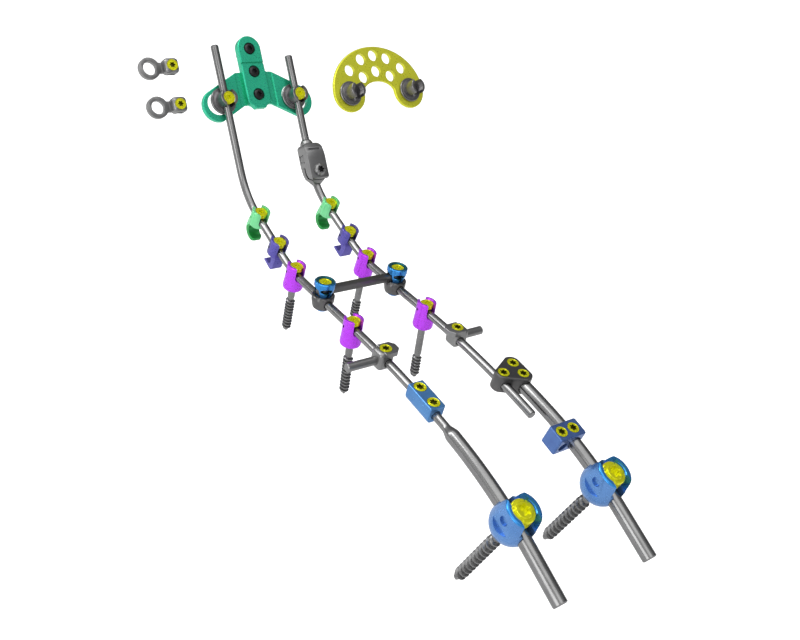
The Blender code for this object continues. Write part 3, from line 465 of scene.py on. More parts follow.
for angle in (45, 135, 225, 315):  # stake marks round the pin, on both sides
    a = math.radians(angle)
    spot = (0, h["stakeRing"] * math.cos(a), h["pinLift"] + h["stakeRing"] * math.sin(a))
    for side in (-1, 1):
        low, high = sorted((side * (h["half"] - 0.3), side * (h["half"] + 1)))
        cut(housing, rodOf(h["stake"], low, high, "X", spot, 12))
soften(housing, 0.12)
collar = lathe(h["collar"], 40)
collar.data.transform(turns["Y"])
soften(collar, 0.12)
place = onRod(rail, stations["hinge"])
upper = tube(rodPath["rightTop"], stations["hinge"] - h["upperEnd"], thinRadius, rail)
put(upper, "hingeUpperRod", identity, rodSteel, ("right_upper_rod",))
put(housing, "hingeHousing", place, bodySteel, ("right_upper_rod",))
put(collar, "hingeCollar", place, bodySteel)

lower = tube(stations["hinge"] + h["lowerStart"], stations["thinEnd"], thinRadius, rail)
put(lower, "rightRod", identity, rodSteel, ("right_rod",))
place0, heading0 = rodPoint(stations["hinge"])
far = rodPoint(stations["hinge"] + h["reach"])[0] - place0
rise = far.y * math.cos(heading0) - far.x * math.sin(heading0)  # the rod has bent this far up where the knuckle ends
profile = arc(h["heelY"], h["heelZ"], h["shell"], 281, 212, 12)
profile += [(caudal - 0.6, rise + 2.15), (-h["reach"], rise + 1.2), (-h["reach"], rise - 1.2), (caudal + 0.8, 0.3)]
profile += [(h["heelY"] - 1.5, -1.0), (h["step"] - 0.12, h["floor"]), (h["step"] - 0.12, 1.8)]
knuckle = slab(profile, -h["half"], h["half"], "YZ", rim=h["shellRim"])
for side in (-1, 1):  # in plan the knuckle narrows to the rod
    wide, wedgeFar, near = side * (h["half"] + 1), -h["reach"] - 2, caudal + 1.2
    wedge = [(wide, near), (wide, wedgeFar), (side * 1.2, wedgeFar), (side * 1.7, -12.2), (side * h["half"], near)]
    cut(knuckle, slab(wedge, -past, past))
soften(knuckle, 0.25, 3)
# painted shade: the knuckle's faces round the heel, in the gap under the housing, are painted black
gapShade = lambda c: math.hypot(c.y - h["heelY"], c.z - h["heelZ"]) < h["shell"] + 0.1
put(knuckle, "hingeKnuckle", place, bodySteel, inner=(blackSteelAndShade, gapShade))
tongue = soften(rodOf(h["tongue"], -h["tongueHalf"], h["tongueHalf"], "X", (0, 0, h["pinLift"])), 0.2)
put(tongue, "hingeTongue", place, bodySteel)
pinPiece = soften(rodOf(h["pin"], -h["half"] + 0.05, h["half"] - 0.05, "X", (0, 0, h["pinLift"])), 0.2)
put(pinPiece, "hingePin", place, bodySteel, ("hinge_pin",))
lockTop = h["top"] + h["lockRise"]
profile = [(0, lockTop), (1.9, lockTop), (2.6, lockTop - 0.4), (2.85, lockTop - 1.1), (2.85, h["top"] - 0.1)]
profile += [(2.45, h["top"] - 0.3), (2.45, h["lockEnd"]), (0, h["lockEnd"])]
lock = lathe(profile)
cut(lock, star(h["socket"], lockTop - h["socketDepth"], 12))
soften(lock, 0.1)
lockPlace = onRod(rail, stations["hinge"], along=-h["lock"])
# painted shade: the lock screw's socket is painted black
lockSocketShade = lambda c: math.hypot(c.x, c.y) < 1.67 and lockTop - 1.3 < c.z < lockTop - 0.02
put(lock, "hingeLockScrew", lockPlace, bodySteel, ("hinge_lock_screw",), inner=(blackSteelAndShade, lockSocketShade))
print("hinged rod done")


# set screws: a boss with a six-lobed socket over thread rings
def rings(start, stop, step, shape):  # thread rings down a bore or a plug, shape in (radius, drop)
    points, z = [], start
    while z > stop:
        points += [(r, z - down) for r, down in shape]
        z -= step
    return points


def plug(spec):
    radius, rise, boss, low = spec["radius"], spec["rise"], spec["boss"], spec["low"]
    top = rise + spec.get("bossRise", 0.0)
    profile = [(0, top), (boss, top), (boss + 0.12, rise - 0.3), (radius - 0.35, rise - 0.3)]
    profile += [(radius - 0.2, rise), (radius - 0.02, rise)]
    ring = ((radius, 0), (radius, 0.12), (radius - 0.28, 0.26), (radius - 0.28, 0.34))
    profile += rings(rise - 0.18, low + 0.5, 0.5, ring)
    screw = lathe(profile + [(radius - 0.1, low), (0, low)])
    cut(screw, star(spec["socket"], rise - 1.2, rise + 2))
    return soften(screw, 0.05, 1)


def blockPlug(name, place, spec, x=0.0, y=0.0, nodes=()):  # yellow ring round a socket painted dark for its shade
    screw = shift(plug(spec), x, y)
    rise, reach = spec["rise"], spec["socket"] * 1.02
    # painted shade: the socket's walls and floor take the dark olive
    dark = lambda c: math.hypot(c.x - x, c.y - y) < reach and rise - 1.3 < c.z < rise - 0.02
    put(screw, name, place, yellowFinish, nodes, inner=(socketShade, dark))


thinPlug = plug({"radius": 2.7, "low": 2.05, "rise": 3.9, "boss": 1.75, "socket": 1.25, "bossRise": 0.15})
plugSites = [("plate_clamp_set_screw_", "", "clamp"), ("lamina_hook_set_screw_", "", "lamina"),
             ("pedicle_hook_set_screw_", "", "pedicle"), ("cervical_set_screw_", "_upper", "upperScrew"),
             ("cervical_set_screw_", "_lower", "lowerScrew")]
for before, after, station in plugSites:
    for side, x in rails:
        node = before + side + after
        name = "plug_" + node.replace("_set_screw", "")
        put(copyOf(thinPlug), name, onRod(x, stations[station]), yellowFinish, (node,))
drop(thinPlug)
print("set screws done")


# tulips for the thin rods: rounded from the side, then cut open for the rod
tulip = {
    "half": 4.0, "reach": 4.4, "top": 4.6, "corner": 1.6, "channel": 1.95, "dimple": 0.6, "dimpleY": 0.9,
    "hook": ((0, 4.6), (3.85, 4.6), (4.0, 4.4), (4.0, -2.9), (3.7, -3.2), (0, -3.2)),
    "hookBore": ((0, 6), (2.9, 6), (2.9, 0.6), (0, 0.6)),
}


def tulipTop(obj, dimpleZ, edge):
    half, reach, top, corner = tulip["half"], tulip["reach"], tulip["top"], tulip["corner"]
    side = [(reach, -20), (reach, top - corner)] + arc(reach - corner, top - corner, corner, 0, 90, 6)[1:]
    side += arc(-reach + corner, top - corner, corner, 90, 180, 6) + [(-reach, -20)]
    boolean(obj, "INTERSECT", slab(side, -12, 12, "YZ"))
    soften(obj, edge)
    cut(obj, channel(tulip["channel"], 8, past))
    for sign in (-1, 1):
        low, high = sorted((sign * (half - 0.5), sign * (half + 2)))
        cut(obj, rodOf(tulip["dimple"], low, high, "X", (0, tulip["dimpleY"], dimpleZ), 16))
    return soften(obj, 0)


# painted shade: the dimples on the arms are painted black
def inDimple(z):
    return lambda c: math.hypot(c.y - tulip["dimpleY"], c.z - z) < 0.63 and abs(c.x) > 3.2


def hookOf(blade, dimpleZ, edge):  # a tulip on top of a blade
    body = fuse(lathe(tulip["hook"], 96), blade)
    cut(body, lathe(tulip["hookBore"], 40))
    return tulipTop(body, dimpleZ, edge)


cervical = {
    "floor": -7.4, "ball": 2.7, "ballDrop": 5.0, "mouth": 3.48, "lip": 2.63, "dimpleZ": 1.2, "edge": 0.16,
    "outside": ((3.0, 4.6), (3.85, 4.6), (4.0, 4.3), (4.02, 1.0), (4.1, -2.0), (4.25, -4.6), (4.35, -6.0),
                (4.3, -6.6), (4.1, -7.1), (3.75, -7.4)),
    "thread": ((2.95, 2.4), (2.75, 2.55), (2.75, 2.7)), "pitch": 0.45,
    "sites": (("left_upper", -rail, "upperScrew", 7.4, 24.7, -4.0),  # thread start, length, lean
              ("right_upper", rail, "upperScrew", 16.0, 27.0, -4.0),
              ("left_lower", -rail, "lowerScrew", 7.4, 26.1, -2.5),
              ("right_lower", rail, "lowerScrew", 16.0, 27.6, -2.5)),
}
c = cervical
profile = [*c["outside"], (c["mouth"], c["floor"]), (c["lip"], -6.35)]
profile += arc(0, -c["ballDrop"], c["ball"] + 0.3, -26, 0, 4) + [(2.95, -3.8), (2.95, 2.2)]
profile += [(r, z + c["pitch"] * i) for i in range(4) for r, z in c["thread"]]
head = tulipTop(lathe(profile, 96, closed=True), c["dimpleZ"], c["edge"])
for site, x, station, *_ in c["sites"]:
    put(copyOf(head), "cervicalHead_" + site, onRod(x, stations[station]), magentaFinish,
        ("cervical_head_" + site,), inner=(blackSteelAndShade, inDimple(c["dimpleZ"])))
drop(head)

lamina = {"half": 2.7, "throat": 2.8, "blade": 1.6, "y": -1.2, "z": -6.5, "dimpleZ": 0.6, "edge": 0.2}
l = lamina
outer = l["throat"] + l["blade"]
outline = [(-3.0, -1.0), (3.4, -1.0)] + arc(l["y"] + 0.8, l["z"], outer, 12, -90, 14)
outline += [(-3.7, l["z"] - outer + 0.1), (-4.2, l["z"] - outer + 0.5), (-4.4, l["z"] - l["throat"] - 0.6)]
outline += [(-3.9, l["z"] - l["throat"] - 0.05)]
outline += arc(l["y"], l["z"], l["throat"], -90, 90, 16) + [(-3.0, l["z"] + l["throat"])]
blade = slab(outline[::-1], -l["half"], l["half"], "YZ")
plan = [(-2.7, 7)] + arc(-1.1, -1.5, 1.6, 180, 270, 6) + arc(1.1, -1.5, 1.6, 270, 360, 6) + [(2.7, 7)]
boolean(blade, "INTERSECT", slab(plan, -14, 2))  # the tip of the blade is round in plan
hook = hookOf(soften(blade, 0.15), l["dimpleZ"], l["edge"])
# painted shade: the blade below the tulip takes the dark green, for the shade under the hook
onBlade = lambda c: c.z < -4.2 or (c.z < -3.3 and abs(c.x) < 2.6)
for side, x in rails:
    put(copyOf(hook), "laminaHook_" + side, onRod(x, stations["lamina"]), mintFinish,
        ("lamina_hook_" + side,), inner=(bladeShade, onBlade))
drop(hook)

pedicle = {"half": 2.4, "throat": 2.1, "y": 0.6, "z": -6.6, "toe": 1.8, "dimpleZ": 0.4, "edge": 0.18}
p = pedicle
foot = p["z"] - p["throat"] - 1.4
outline = [(3.2, -1.0), (-3.3, -1.0), (-3.9, -3.0)] + arc(-2.1, foot + p["toe"], p["toe"], 180, 270, 8)
outline += [(2.8, foot + 0.2), (3.3, foot + 0.8), (2.6, foot + 1.4)]
outline += arc(p["y"], p["z"], p["throat"], -90, -270, 14) + [(3.2, p["z"] + p["throat"])]
hook = hookOf(slab(outline, -p["half"], p["half"], "YZ"), p["dimpleZ"], p["edge"])
for side, x in rails:
    put(copyOf(hook), "pedicleHook_" + side, onRod(x, stations["pedicle"]), violetFinish,
        ("pedicle_hook_" + side,), inner=(blackSteelAndShade, inDimple(p["dimpleZ"])))
drop(hook)
print("tulips and hooks done")


# bone screws: ball, neck and shank in one, the thread swept round it
def helix(core, crest, start, length, pitch, width, steps=20):
    bm = bmesh.new()
    half = pitch * width
    tooth = [(core - 0.2, half), (crest - 0.06, 0.12 * pitch), (crest, 0.0), (crest - 0.04, -0.1 * pitch),
             (core - 0.2, -half)]
    verts = [bm.verts.new((r, 0, -start - half + z)) for r, z in tooth]
    face = bm.faces.new(verts)
    rounds = (length - start - 2 * half) / pitch
    count = round(rounds * steps)
    bmesh.ops.spin(bm, geom=[face, *face.edges, *face.verts], axis=(0, 0, 1), cent=(0, 0, 0),
                   dvec=(0, 0, -pitch * rounds / count), angle=rounds * 2 * math.pi, steps=count)
    bmesh.ops.remove_doubles(bm, verts=bm.verts, dist=1e-6)
    for v in bm.verts:  # the tooth grows out of the shank and dies away at the tip
        r = math.hypot(v.co.x, v.co.y)
        into = min(max((-start - v.co.z) / (0.8 * pitch), 0), 1)
        out = min(max((length + v.co.z) / (1.2 * pitch), 0), 1)
        keep = (core - 0.2 + (r - core + 0.2) * into * out) / r
        v.co.x *= keep
        v.co.y *= keep
    bmesh.ops.recalc_face_normals(bm, faces=bm.faces)
    obj = toObject(bm)
    obj.data.shade_smooth()
    obj.data.set_sharp_from_angle(angle=math.radians(40))
    return obj


def boneScrew(kind, site, place, spec, start, length):
    ball, crown = spec["ball"], spec["crownShare"] * spec["ball"]
    top = math.degrees(math.asin(spec["crownShare"]))
    low = -math.degrees(math.acos(spec["neck"] / ball))
    profile = [(0, crown)] + arc(0, 0, ball, top, low, 14)
    profile += [(spec["neck"], -start + 0.6), (spec["core"], -start - 0.3), (spec["core"], -length + spec["tip"])]
    profile += arc(0, -length + 0.5 * spec["core"], 0.5 * spec["core"], 0, -90, 6)
    shank = lathe(profile, 36)
    cut(shank, star(0.45 * ball, crown - 0.35 * ball, ball * 2))
    soften(shank, 0.06, 1)
    tooth = helix(spec["core"], spec["crest"], start, length - 0.4 * spec["tip"], spec["pitch"], spec["width"])
    node = kind + "_screw_" + site
    put(shank, kind + "Shank_" + site, place, screwSteel, (node,), node)
    put(tooth, kind + "Thread_" + site, place, screwSteel, (), node)


thinScrew = {"ball": 2.7, "crownShare": 0.82, "neck": 1.55, "core": 1.35, "crest": 2.1, "pitch": 1.5, "tip": 1.4,
             "width": 0.3, "drop": -5.0}
thickScrew = {"ball": 3.6, "crownShare": 0.55, "neck": 1.7, "core": 1.65, "crest": 2.55, "pitch": 2.75, "tip": 3.2,
              "width": 0.3, "drop": -6.0, "start": 5.2, "length": 39.7}
for site, x, station, start, length, lean in cervical["sites"]:
    place = onRod(x, stations[station], lift=thinScrew["drop"]) @ Matrix.Rotation(math.radians(lean), 4, "X")
    boneScrew("cervical", site, place, thinScrew, start, length)
for site, x, medial in (("left", -rail, 1.0), ("right", thickRail, -1.0)):
    place = onRod(x, stations["thoracic"], lift=thickScrew["drop"]) @ Matrix.Rotation(math.radians(medial), 4, "Y")
    boneScrew("thoracic", site, place, thickScrew, thickScrew["start"], thickScrew["length"])
print("bone screws done")


# thoracic heads: a round bowl, flats that end in a ledge, and a threaded bore across the channel
thoracic = {
    "radius": 8.0, "flat": 6.4, "bowl": -1.0, "narrow": 0.94, "ledge": (5.6, 6.4), "arm": (3.9, 3.3),
    "channel": 2.9, "dimple": 1.8, "dimpleDepth": 0.9, "dimplePlace": (0, 0.3, 4.0), "socket": 2.4,
    "side": ((7.3, 6.0), (7.75, 3.0), (7.95, 0.5)), "seat": ((3.9, -7.8), (3.36, -7.75), (3.3, -7.0), (0, -7.0)),
    "boreRing": ((4.85, 0), (4.55, 0.25), (4.55, 0.45), (4.85, 0.7)),
    "plugTop": ((0, 8.5), (2.9, 8.5), (3.1, 8.3), (3.15, 7.85), (4.2, 7.8), (4.55, 7.5)),
    "plugRing": ((4.6, 0), (4.6, 0.2), (4.25, 0.4), (4.25, 0.5)),
}
t = thoracic
profile = [(0, 8.6)] + arc(6.1, 7.8, 0.8, 90, 10, 5) + [*t["side"]]
profile += arc(0, t["bowl"], t["radius"], 0, -58, 14) + [*t["seat"]]
bigHead = lathe(profile, 72)
bigHead.data.transform(Matrix.Diagonal((t["narrow"], 1, 1, 1)))
ledgeZ, ledge = t["ledge"]
for side in (-1, 1):
    low, high = sorted((side * t["flat"], side * 12))
    cut(bigHead, slab(arc(0, ledgeZ, ledge, 180, 360, 28) + [(ledge, 20), (-ledge, 20)], low, high, "YZ"))
bore = lathe([(0, 12), (4.85, 12)] + rings(8.2, 4, 0.9, t["boreRing"]) + [(4.85, 3.0), (4.6, 0.0), (0, 0.0)], 56)
armHalf, armFloor = t["arm"]
cut(bigHead, channel(t["channel"], 16, 14), block((-armHalf, -14, armFloor), (armHalf, 14, 16)), bore)
for side in (-1, 1):
    low, high = sorted((side * (t["flat"] - t["dimpleDepth"]), side * past))
    cut(bigHead, rodOf(t["dimple"], low, high, "X", t["dimplePlace"], 32))
soften(bigHead, 0)
bigPlug = lathe([*t["plugTop"]] + rings(7.2, 3.6, 0.8, t["plugRing"]) + [(4.4, 3.05), (0, 3.05)], 56)
cut(bigPlug, star(t["socket"], 6.6, 9, 6, 0.14))
soften(bigPlug, 0.08, 1)
onArm = lambda c: c.z > 7.9 or (c.z > 3 and math.hypot(c.x, c.y) < 5.2)
for site, x in (("left", -rail), ("right", thickRail)):
    place = onRod(x, stations["thoracic"])
    put(copyOf(bigHead), "thoracicHead_" + site, place, blueFinish, ("thoracic_head_" + site,),
        inner=(skyFinish, onArm))
    put(copyOf(bigPlug), "thoracicPlug_" + site, place, yellowFinish, ("thoracic_set_screw_" + site,))
drop(bigHead, bigPlug)
print("thoracic heads done")


# the cross link: a bar held in two caged heads over dark collars
cross = {
    "bar": (21.2, 1.5, 3.1, 6.1), "slot": (1.8, 2.7, 6.35), "slit": (0.75, 6.2), "rodBore": 1.95,
    "cage": ((0, 9.0), (3.1, 9.0), (3.3, 9.2), (3.95, 9.2), (4.35, 8.8), (4.35, 7.0), (4.2, 5.9), (3.7, 4.4),
             (3.25, 3.0), (3.2, -2.6), (2.9, -3.6), (2.2, -4.2), (0, -4.2)),
    "well": ((0, 10), (2.75, 10), (2.75, 2.6), (0, 2.6)), "window": (2.5, 1.15, 6.0), "windowTurn": -18,
    "collar": ((4.3, 3.0), (4.7, 2.6), (4.7, 0.6), (4.35, -1.2), (3.9, -2.8), (3.5, -2.8), (3.5, 3.0)),
    "plug": {"radius": 2.6, "low": 6.6, "rise": 8.7, "boss": 1.6, "socket": 1.2, "bossRise": 0.1},
}
x, y, low, high = cross["bar"]
bar = soften(block((-x, -y, low), (x, y, high)), 0.3, 3)
put(bar, "crossBar", onRod(0, stations["cross"]), darkSteel, ("cross_bar",))
cage = lathe(cross["cage"])
slotHalf, slotLow, slotHigh = cross["slot"]
slitHalf, slitTop = cross["slit"]
cut(cage, lathe(cross["well"], 40), block((-past, -slotHalf, slotLow), (past, slotHalf, slotHigh)),
    rodOf(cross["rodBore"], -past, past, "Y"), block((-slitHalf, -past, 0), (slitHalf, past, slitTop)))
wide, tall, middle = cross["window"]
angles = [math.radians(a) for a in range(0, 360, 12)]
window = [(wide * math.cos(a), middle + tall * math.sin(a)) for a in angles]
windows = [slab([(z, x) for x, z in window], -past, past, "ZX"), slab(window, -past, past, "YZ")]
for tool in windows:  # the windows face a little off the rod
    tool.data.transform(Matrix.Rotation(math.radians(cross["windowTurn"]), 4, "Z"))
cut(cage, *windows)
soften(cage, 0.14)
collar = lathe(cross["collar"], closed=True)
cut(collar, rodOf(cross["rodBore"], -past, past, "Y"))
soften(collar, 0.18)
crossPlug = plug(cross["plug"])
# painted shade: the well inside the cage and its top ring take the dark teal
inCage = lambda c: c.z > 4.6 and math.hypot(c.x, c.y) < 3.8
for side, x in rails:
    place = onRod(x, stations["cross"])
    put(copyOf(cage), "crossCage_" + side, place, skyFinish, ("crosslink_clamp_" + side,),
        inner=(wellShade, inCage))
    put(copyOf(collar), "crossCup_" + side, place, darkSteel, ("crosslink_collar_" + side,))
    put(copyOf(crossPlug), "crossPlug_" + side, place, yellowFinish, ("crosslink_set_screw_" + side,))
drop(cage, collar, crossPlug)
print("cross link done")


# offset connectors: a rounded body, a plate round the set screw and a stub to the side
offset = {
    "half": 3.4, "rise": 4.6, "floor": -3.4, "near": 2.6, "far": 4.2, "round": 1.7, "bore": 1.95, "well": 2.5,
    "plate": (2.4, 4.7), "plug": {"radius": 2.4, "low": 2.05, "rise": 4.85, "boss": 1.75, "socket": 1.5},
}
f = offset
for site, x, station, stub, side in (("left", -rail, "leftOffset", 16.8, -1), ("right", rail, "rightOffset", 13.7, 1)):
    low, high = sorted((-side * f["near"], side * f["far"]))
    body = soften(block((low, -f["half"], f["floor"]), (high, f["half"], f["rise"])), f["round"], 6)
    plan = [(side * 2.0, f["half"]), (-side * 3.4, f["half"]), (-side * 5.3, 1.4)]
    plan += [(a, -b) for a, b in reversed(plan)]
    fuse(body, slab(plan, *f["plate"], rim=0.35))
    low, high = sorted((side * f["near"], side * stub))
    fuse(body, soften(rodOf(rods["thin"], low, high, "X"), 0.3, 1))
    cut(body, rodOf(f["bore"], -past, past, "Y"), rodOf(f["well"], 1, past))
    soften(body, 0.06, 1)
    place = onRod(x, stations[station])
    put(body, "offsetConnector_" + site, place, bodySteel, ("offset_connector_" + site,))
    blockPlug("offsetPlug_" + site, place, f["plug"], nodes=("offset_set_screw_" + site,))
print("offset connectors done")


# block connectors: in line, three-screw parallel and side by side
inline = {
    "length": 14.6, "half": 3.4, "rise": 3.9, "shoulder": -0.6, "floor": -3.2, "bore": 1.95, "well": 2.5,
    "screws": (4.25, -4.25),
    "plug": {"radius": 2.4, "low": 2.3, "rise": 4.0, "boss": 1.8, "socket": 1.6},
}
n = inline
outline = [(n["rise"], -n["half"]), (n["shoulder"], -n["half"])]
outline += arc(n["shoulder"], 0, n["half"], 260, 100, 14)[1:-1]
outline = [(max(z, n["floor"]), x) for z, x in outline] + [(n["shoulder"], n["half"]), (n["rise"], n["half"])]
body = slab(outline, -n["length"] / 2, n["length"] / 2, "ZX", rim=0.55, corner=0.5)
wells = [rodOf(n["well"], 2.2, past, centre=(0, y, 0)) for y in n["screws"]]
cut(body, rodOf(n["bore"], -past, past, "Y"), *wells)
soften(body, 0.1, weigh=True)
place = onRod(-rail, stations["inline"])
put(body, "inlineBlock", place, inlineFinish, ("inline_connector",))
for i, y in enumerate(n["screws"]):
    blockPlug("inlinePlug_%d" % (i + 1), place, n["plug"], 0, y)

parallel = {
    "rise": 4.4, "drop": -3.3, "corner": 3.3, "farCorner": 3.9, "bore": 1.95, "thickBore": 2.95, "well": 2.4,
    "screws": ((0, 0), (7.5, 3.2), (7.5, -3.2)),
    "plug": {"radius": 2.3, "low": 3.0, "rise": 4.5, "boss": 1.7, "socket": 1.5},
}
q = parallel
beside = rodPath["beside"]
outline = arc(0, 0, q["corner"], 235, 125, 12)
outline += arc(*q["screws"][1], q["farCorner"], 105, 20, 10) + arc(*q["screws"][2], q["farCorner"], -20, -105, 10)
body = slab(outline, q["drop"], q["rise"], rim=0.6)
wells = [rodOf(q["well"], 2.4, past, centre=(*spot, 0)) for spot in q["screws"]]
cut(body, rodOf(q["bore"], -14, 14, "Y"), rodOf(q["thickBore"], -14, 14, "Y", (beside, 0, 0)), *wells)
soften(body, 0.1, weigh=True)
place = onRod(rail, stations["parallel"])
put(body, "parallelBlock", place, darkSteel, ("parallel_connector",))
for i, (x, y) in enumerate(q["screws"]):
    blockPlug("parallelPlug_%d" % (i + 1), place, q["plug"], x, y)

sideBlock = {
    "outer": -9.1, "inner": 4.0, "half": 3.7, "rise": 4.6, "drop": -3.6, "gap": -5.9, "bore": 1.95, "thickBore": 2.95,
    "well": 2.4, "plug": {"radius": 2.3, "low": 3.2, "rise": 4.7, "boss": 1.7, "socket": 1.5},
}
b = sideBlock
corners = [(b["outer"], -b["half"]), (b["inner"], -b["half"]), (b["inner"], b["half"]), (b["outer"], b["half"])]
body = slab(corners, b["drop"], b["rise"], rim=0.5, corner=0.8)
cut(body, rodOf(b["thickBore"], -past, past, "Y"), rodOf(b["bore"], -past, past, "Y", (b["gap"], 0, 0)),
    rodOf(b["well"], 2.6, past), rodOf(b["well"], 2.6, past, centre=(b["gap"], 0, 0)))
soften(body, 0.1, weigh=True)
place = onRod(thickRail, stations["side"])
put(body, "sideBlock", place, sideFinish, ("side_connector",))
for i, x in enumerate((0, b["gap"])):
    blockPlug("sidePlug_%d" % (i + 1), place, b["plug"], x)
print("connectors done")


# rod clamps on round flanges, empty on the kidney plate
flange = {
    "plateWall": 2.4, "kidneyWall": 1.8, "clearance": 0.3, "channel": 1.98, "channelLift": 5.5,
    "post": ((0, 10.1), (3.8, 10.1), (4.0, 9.9)), "foot": ((4.4, 0.3), (0, 0.3)),
    "steps": ((4.0, 1.5), (4.9, 1.35), (5.05, 0.95), (5.75, 0.9), (6.0, 0.6), (6.0, 0), (4.4, 0)),
    "boreRing": ((2.95, 0), (2.7, 0.2), (2.7, 0.35), (2.95, 0.55)),
}


def putClamps(wall, name, nodeName, across):
    seat = wall + flange["clearance"]
    steps = [(r, seat + up) for r, up in flange["steps"]]
    clamp = lathe([*flange["post"], *steps, *flange["foot"]], 96)
    grooves = [(0, 14), (2.95, 14)] + rings(9.6, 6.6, 0.75, flange["boreRing"]) + [(2.95, 6.0), (0, 6.0)]
    cut(clamp, shift(channel(flange["channel"], 8, past), z=flange["channelLift"]), lathe(grooves, 40))
    soften(clamp, 0)
    for side, x in rails:
        put(copyOf(clamp), name + side, onPlate(across + x, -clampDrop), clampSteel, (nodeName + side,))
    drop(clamp)


kidneyX = 68.9  # the kidney plate lies beside the occipital plate
putClamps(flange["plateWall"], "plateClamp_", "plate_clamp_", 0)
putClamps(flange["kidneyWall"], "kidneyClamp_", "kidney_clamp_", kidneyX)


# the occipital plate: a midline bar, two slotted wings and three bone screws
occipital = {
    "barHalf": 5.7, "middleHalf": 6.2, "middleEnd": -9.0, "barTop": 21.6, "bar": 3.6, "wing": 2.4, "pitch": 10.5,
    "shoulder": 5.5, "endX": 20.6, "endY": -8.9, "end": 7.3, "slot": 5.0, "slotX": 17.3,
    "fold": (6.2, 8.9, 1.5), "bend": (8.6, 9.6, 0.6), "foot": ((5.7, -8.7), (4.8, -9.7), (3.7, -10.1), (2.4, -11.5)),
    "screw": ((0, 4.3), (1.5, 4.3), (2.2, 3.95), (2.5, 3.3), (2.5, 2.3), (1.15, 2.3), (1.15, -7.7), (0.3, -9.5),
              (0, -9.5)),
    "socket": 1.25, "hole": 1.8, "well": 2.8,
}
o = occipital
halfBar = arc(0, o["barTop"] - o["barHalf"], o["barHalf"], 90, 0, 20)[1:] + [*o["foot"]]
outline = halfBar + [(-x, y) for x, y in reversed(halfBar)]
plate = slab([(0, o["barTop"])] + outline, 0, o["bar"], rim=0.4)
m, end, shoulder = o["middleHalf"], o["middleEnd"], o["shoulder"]
fuse(plate, slab([(-m, end), (m, end), (m, shoulder), (-m, shoulder)], 0.01, o["bar"] - 0.01, rim=0.7))
for sign in (-1, 1):
    wing = [(3, shoulder), (8.8, shoulder)] + arc(o["endX"], o["endY"], o["end"], 62, -100, 28)
    wing += [(7.0, -9.6), (3, -9.6)]
    piece = slab([(sign * x, y) for x, y in wing], 0.02, o["wing"], rim=0.35)
    slot = arc(o["endX"], o["endY"] + 0.7, o["slot"], 70, -100, 20)
    slot += arc(o["slotX"], -clampDrop + 0.8, o["slot"], 250, 80, 20)
    inner, outer, floor = o["fold"]
    fold = [(floor, inner), (floor, outer), (2.5, outer + 0.8), (9, outer + 0.8), (9, inner)]
    cut(piece, slab([(sign * x, y) for x, y in slot], -1, 4), slab([(z, sign * x) for z, x in fold], -20, 20, "ZX"))
    fuse(plate, piece)
bendLow, bendHigh, bendDepth = o["bend"]
cut(plate, block((-9, bendLow, o["bar"] - bendDepth), (9, bendHigh, 9)))
rows = [(label, o["pitch"] * (row - 0.5)) for row, label in enumerate(("lower", "middle", "upper"))]
for label, y in rows:
    cut(plate, rodOf(o["hole"], -1, 5, centre=(0, y, 0)), rodOf(o["well"], 2.0, 5, centre=(0, y, 0)))
soften(plate, 0.12, weigh=True)
put(plate, "occipitalPlate", onPlate(0, 0), tealFinish, ("occipital_plate",))
for label, y in rows:
    screw = lathe(o["screw"])
    cut(screw, star(o["socket"], 3.2, 6))
    soften(screw, 0.08, 1)
    put(screw, "occipitalScrew_" + label, onPlate(0, y), blackSteelAndShade, ("occipital_screw_" + label,))
    tooth = helix(core=1.15, crest=1.5, start=0.4, length=9.0, pitch=1.0, width=0.36)
    put(tooth, "occipitalThread_" + label, onPlate(0, y), screwSteel)
print("occipital plate done")


# the kidney plate, lying in the plane of the occipital plate
kidney = {"thickness": 1.8, "leg": 9.0, "rise": 23.0, "arch": 5.5, "hole": 2.8, "clampHole": 5.0}
k = kidney
grow = rail + k["leg"]
half = [(x, y * k["rise"] / grow) for x, y in arc(0, 0, grow, 90, 0, 40)][1:]
half += arc(rail, 0, k["leg"], 0, -180, 28)[1:]
half += [(x, y * k["arch"] / (rail - k["leg"])) for x, y in arc(0, 0, rail - k["leg"], 0, 90, 16)][1:-1]
plate = slab(half + [(-x, y) for x, y in reversed(half)], 0, k["thickness"], rim=0.6)
holes = [(x * 7.8, 18.4 - x * x * 1.72) for x in (-2, -1, 0, 1, 2)]
holes += [(x * 8.2, 10.5 - abs(x) * 2.7) for x in (-1, 0, 1)]
cut(plate, *[rodOf(k["hole"], -1, 4, centre=(x, y, 0), sides=32) for x, y in holes],
    *[rodOf(k["clampHole"], -1, 4, centre=(x, 0, 0)) for side, x in rails])
soften(plate, 0.12, weigh=True)
put(plate, "kidneyPlate", onPlate(kidneyX, -clampDrop), plateYellow, ("kidney_plate",))


# eyelet connectors, lying loose on the other side
eyelet = {
    "ring": 4.7, "hole": 2.9, "plate": 2.0, "neckHalf": 2.3, "reach": 8.8, "half": 3.3, "near": 5.5, "far": 12.1,
    "rise": 5.9, "round": 1.7, "bore": 1.75, "boreLift": 2.35, "well": 2.5, "x": -48.6,
    "sites": (("upper", 9.0), ("lower", -7.9)),
    "plug": {"radius": 2.4, "low": 4.3, "rise": 6.0, "boss": 1.6, "socket": 1.3},
}
e = eyelet
body = rodOf(e["ring"], 0, e["plate"], sides=56)
fuse(body, block((2, -e["neckHalf"], 0.05), (e["reach"], e["neckHalf"], 1.95)))
fuse(body, soften(block((e["near"], -e["half"], -0.05), (e["far"], e["half"], e["rise"])), e["round"], 6))
cut(body, rodOf(e["hole"], -2, 4, sides=48), rodOf(e["bore"], -8, 8, "Y", (e["reach"], 0, e["boreLift"])),
    rodOf(e["well"], 4.0, past, centre=(e["reach"], 0, 0)))
soften(body, 0.3, 3)
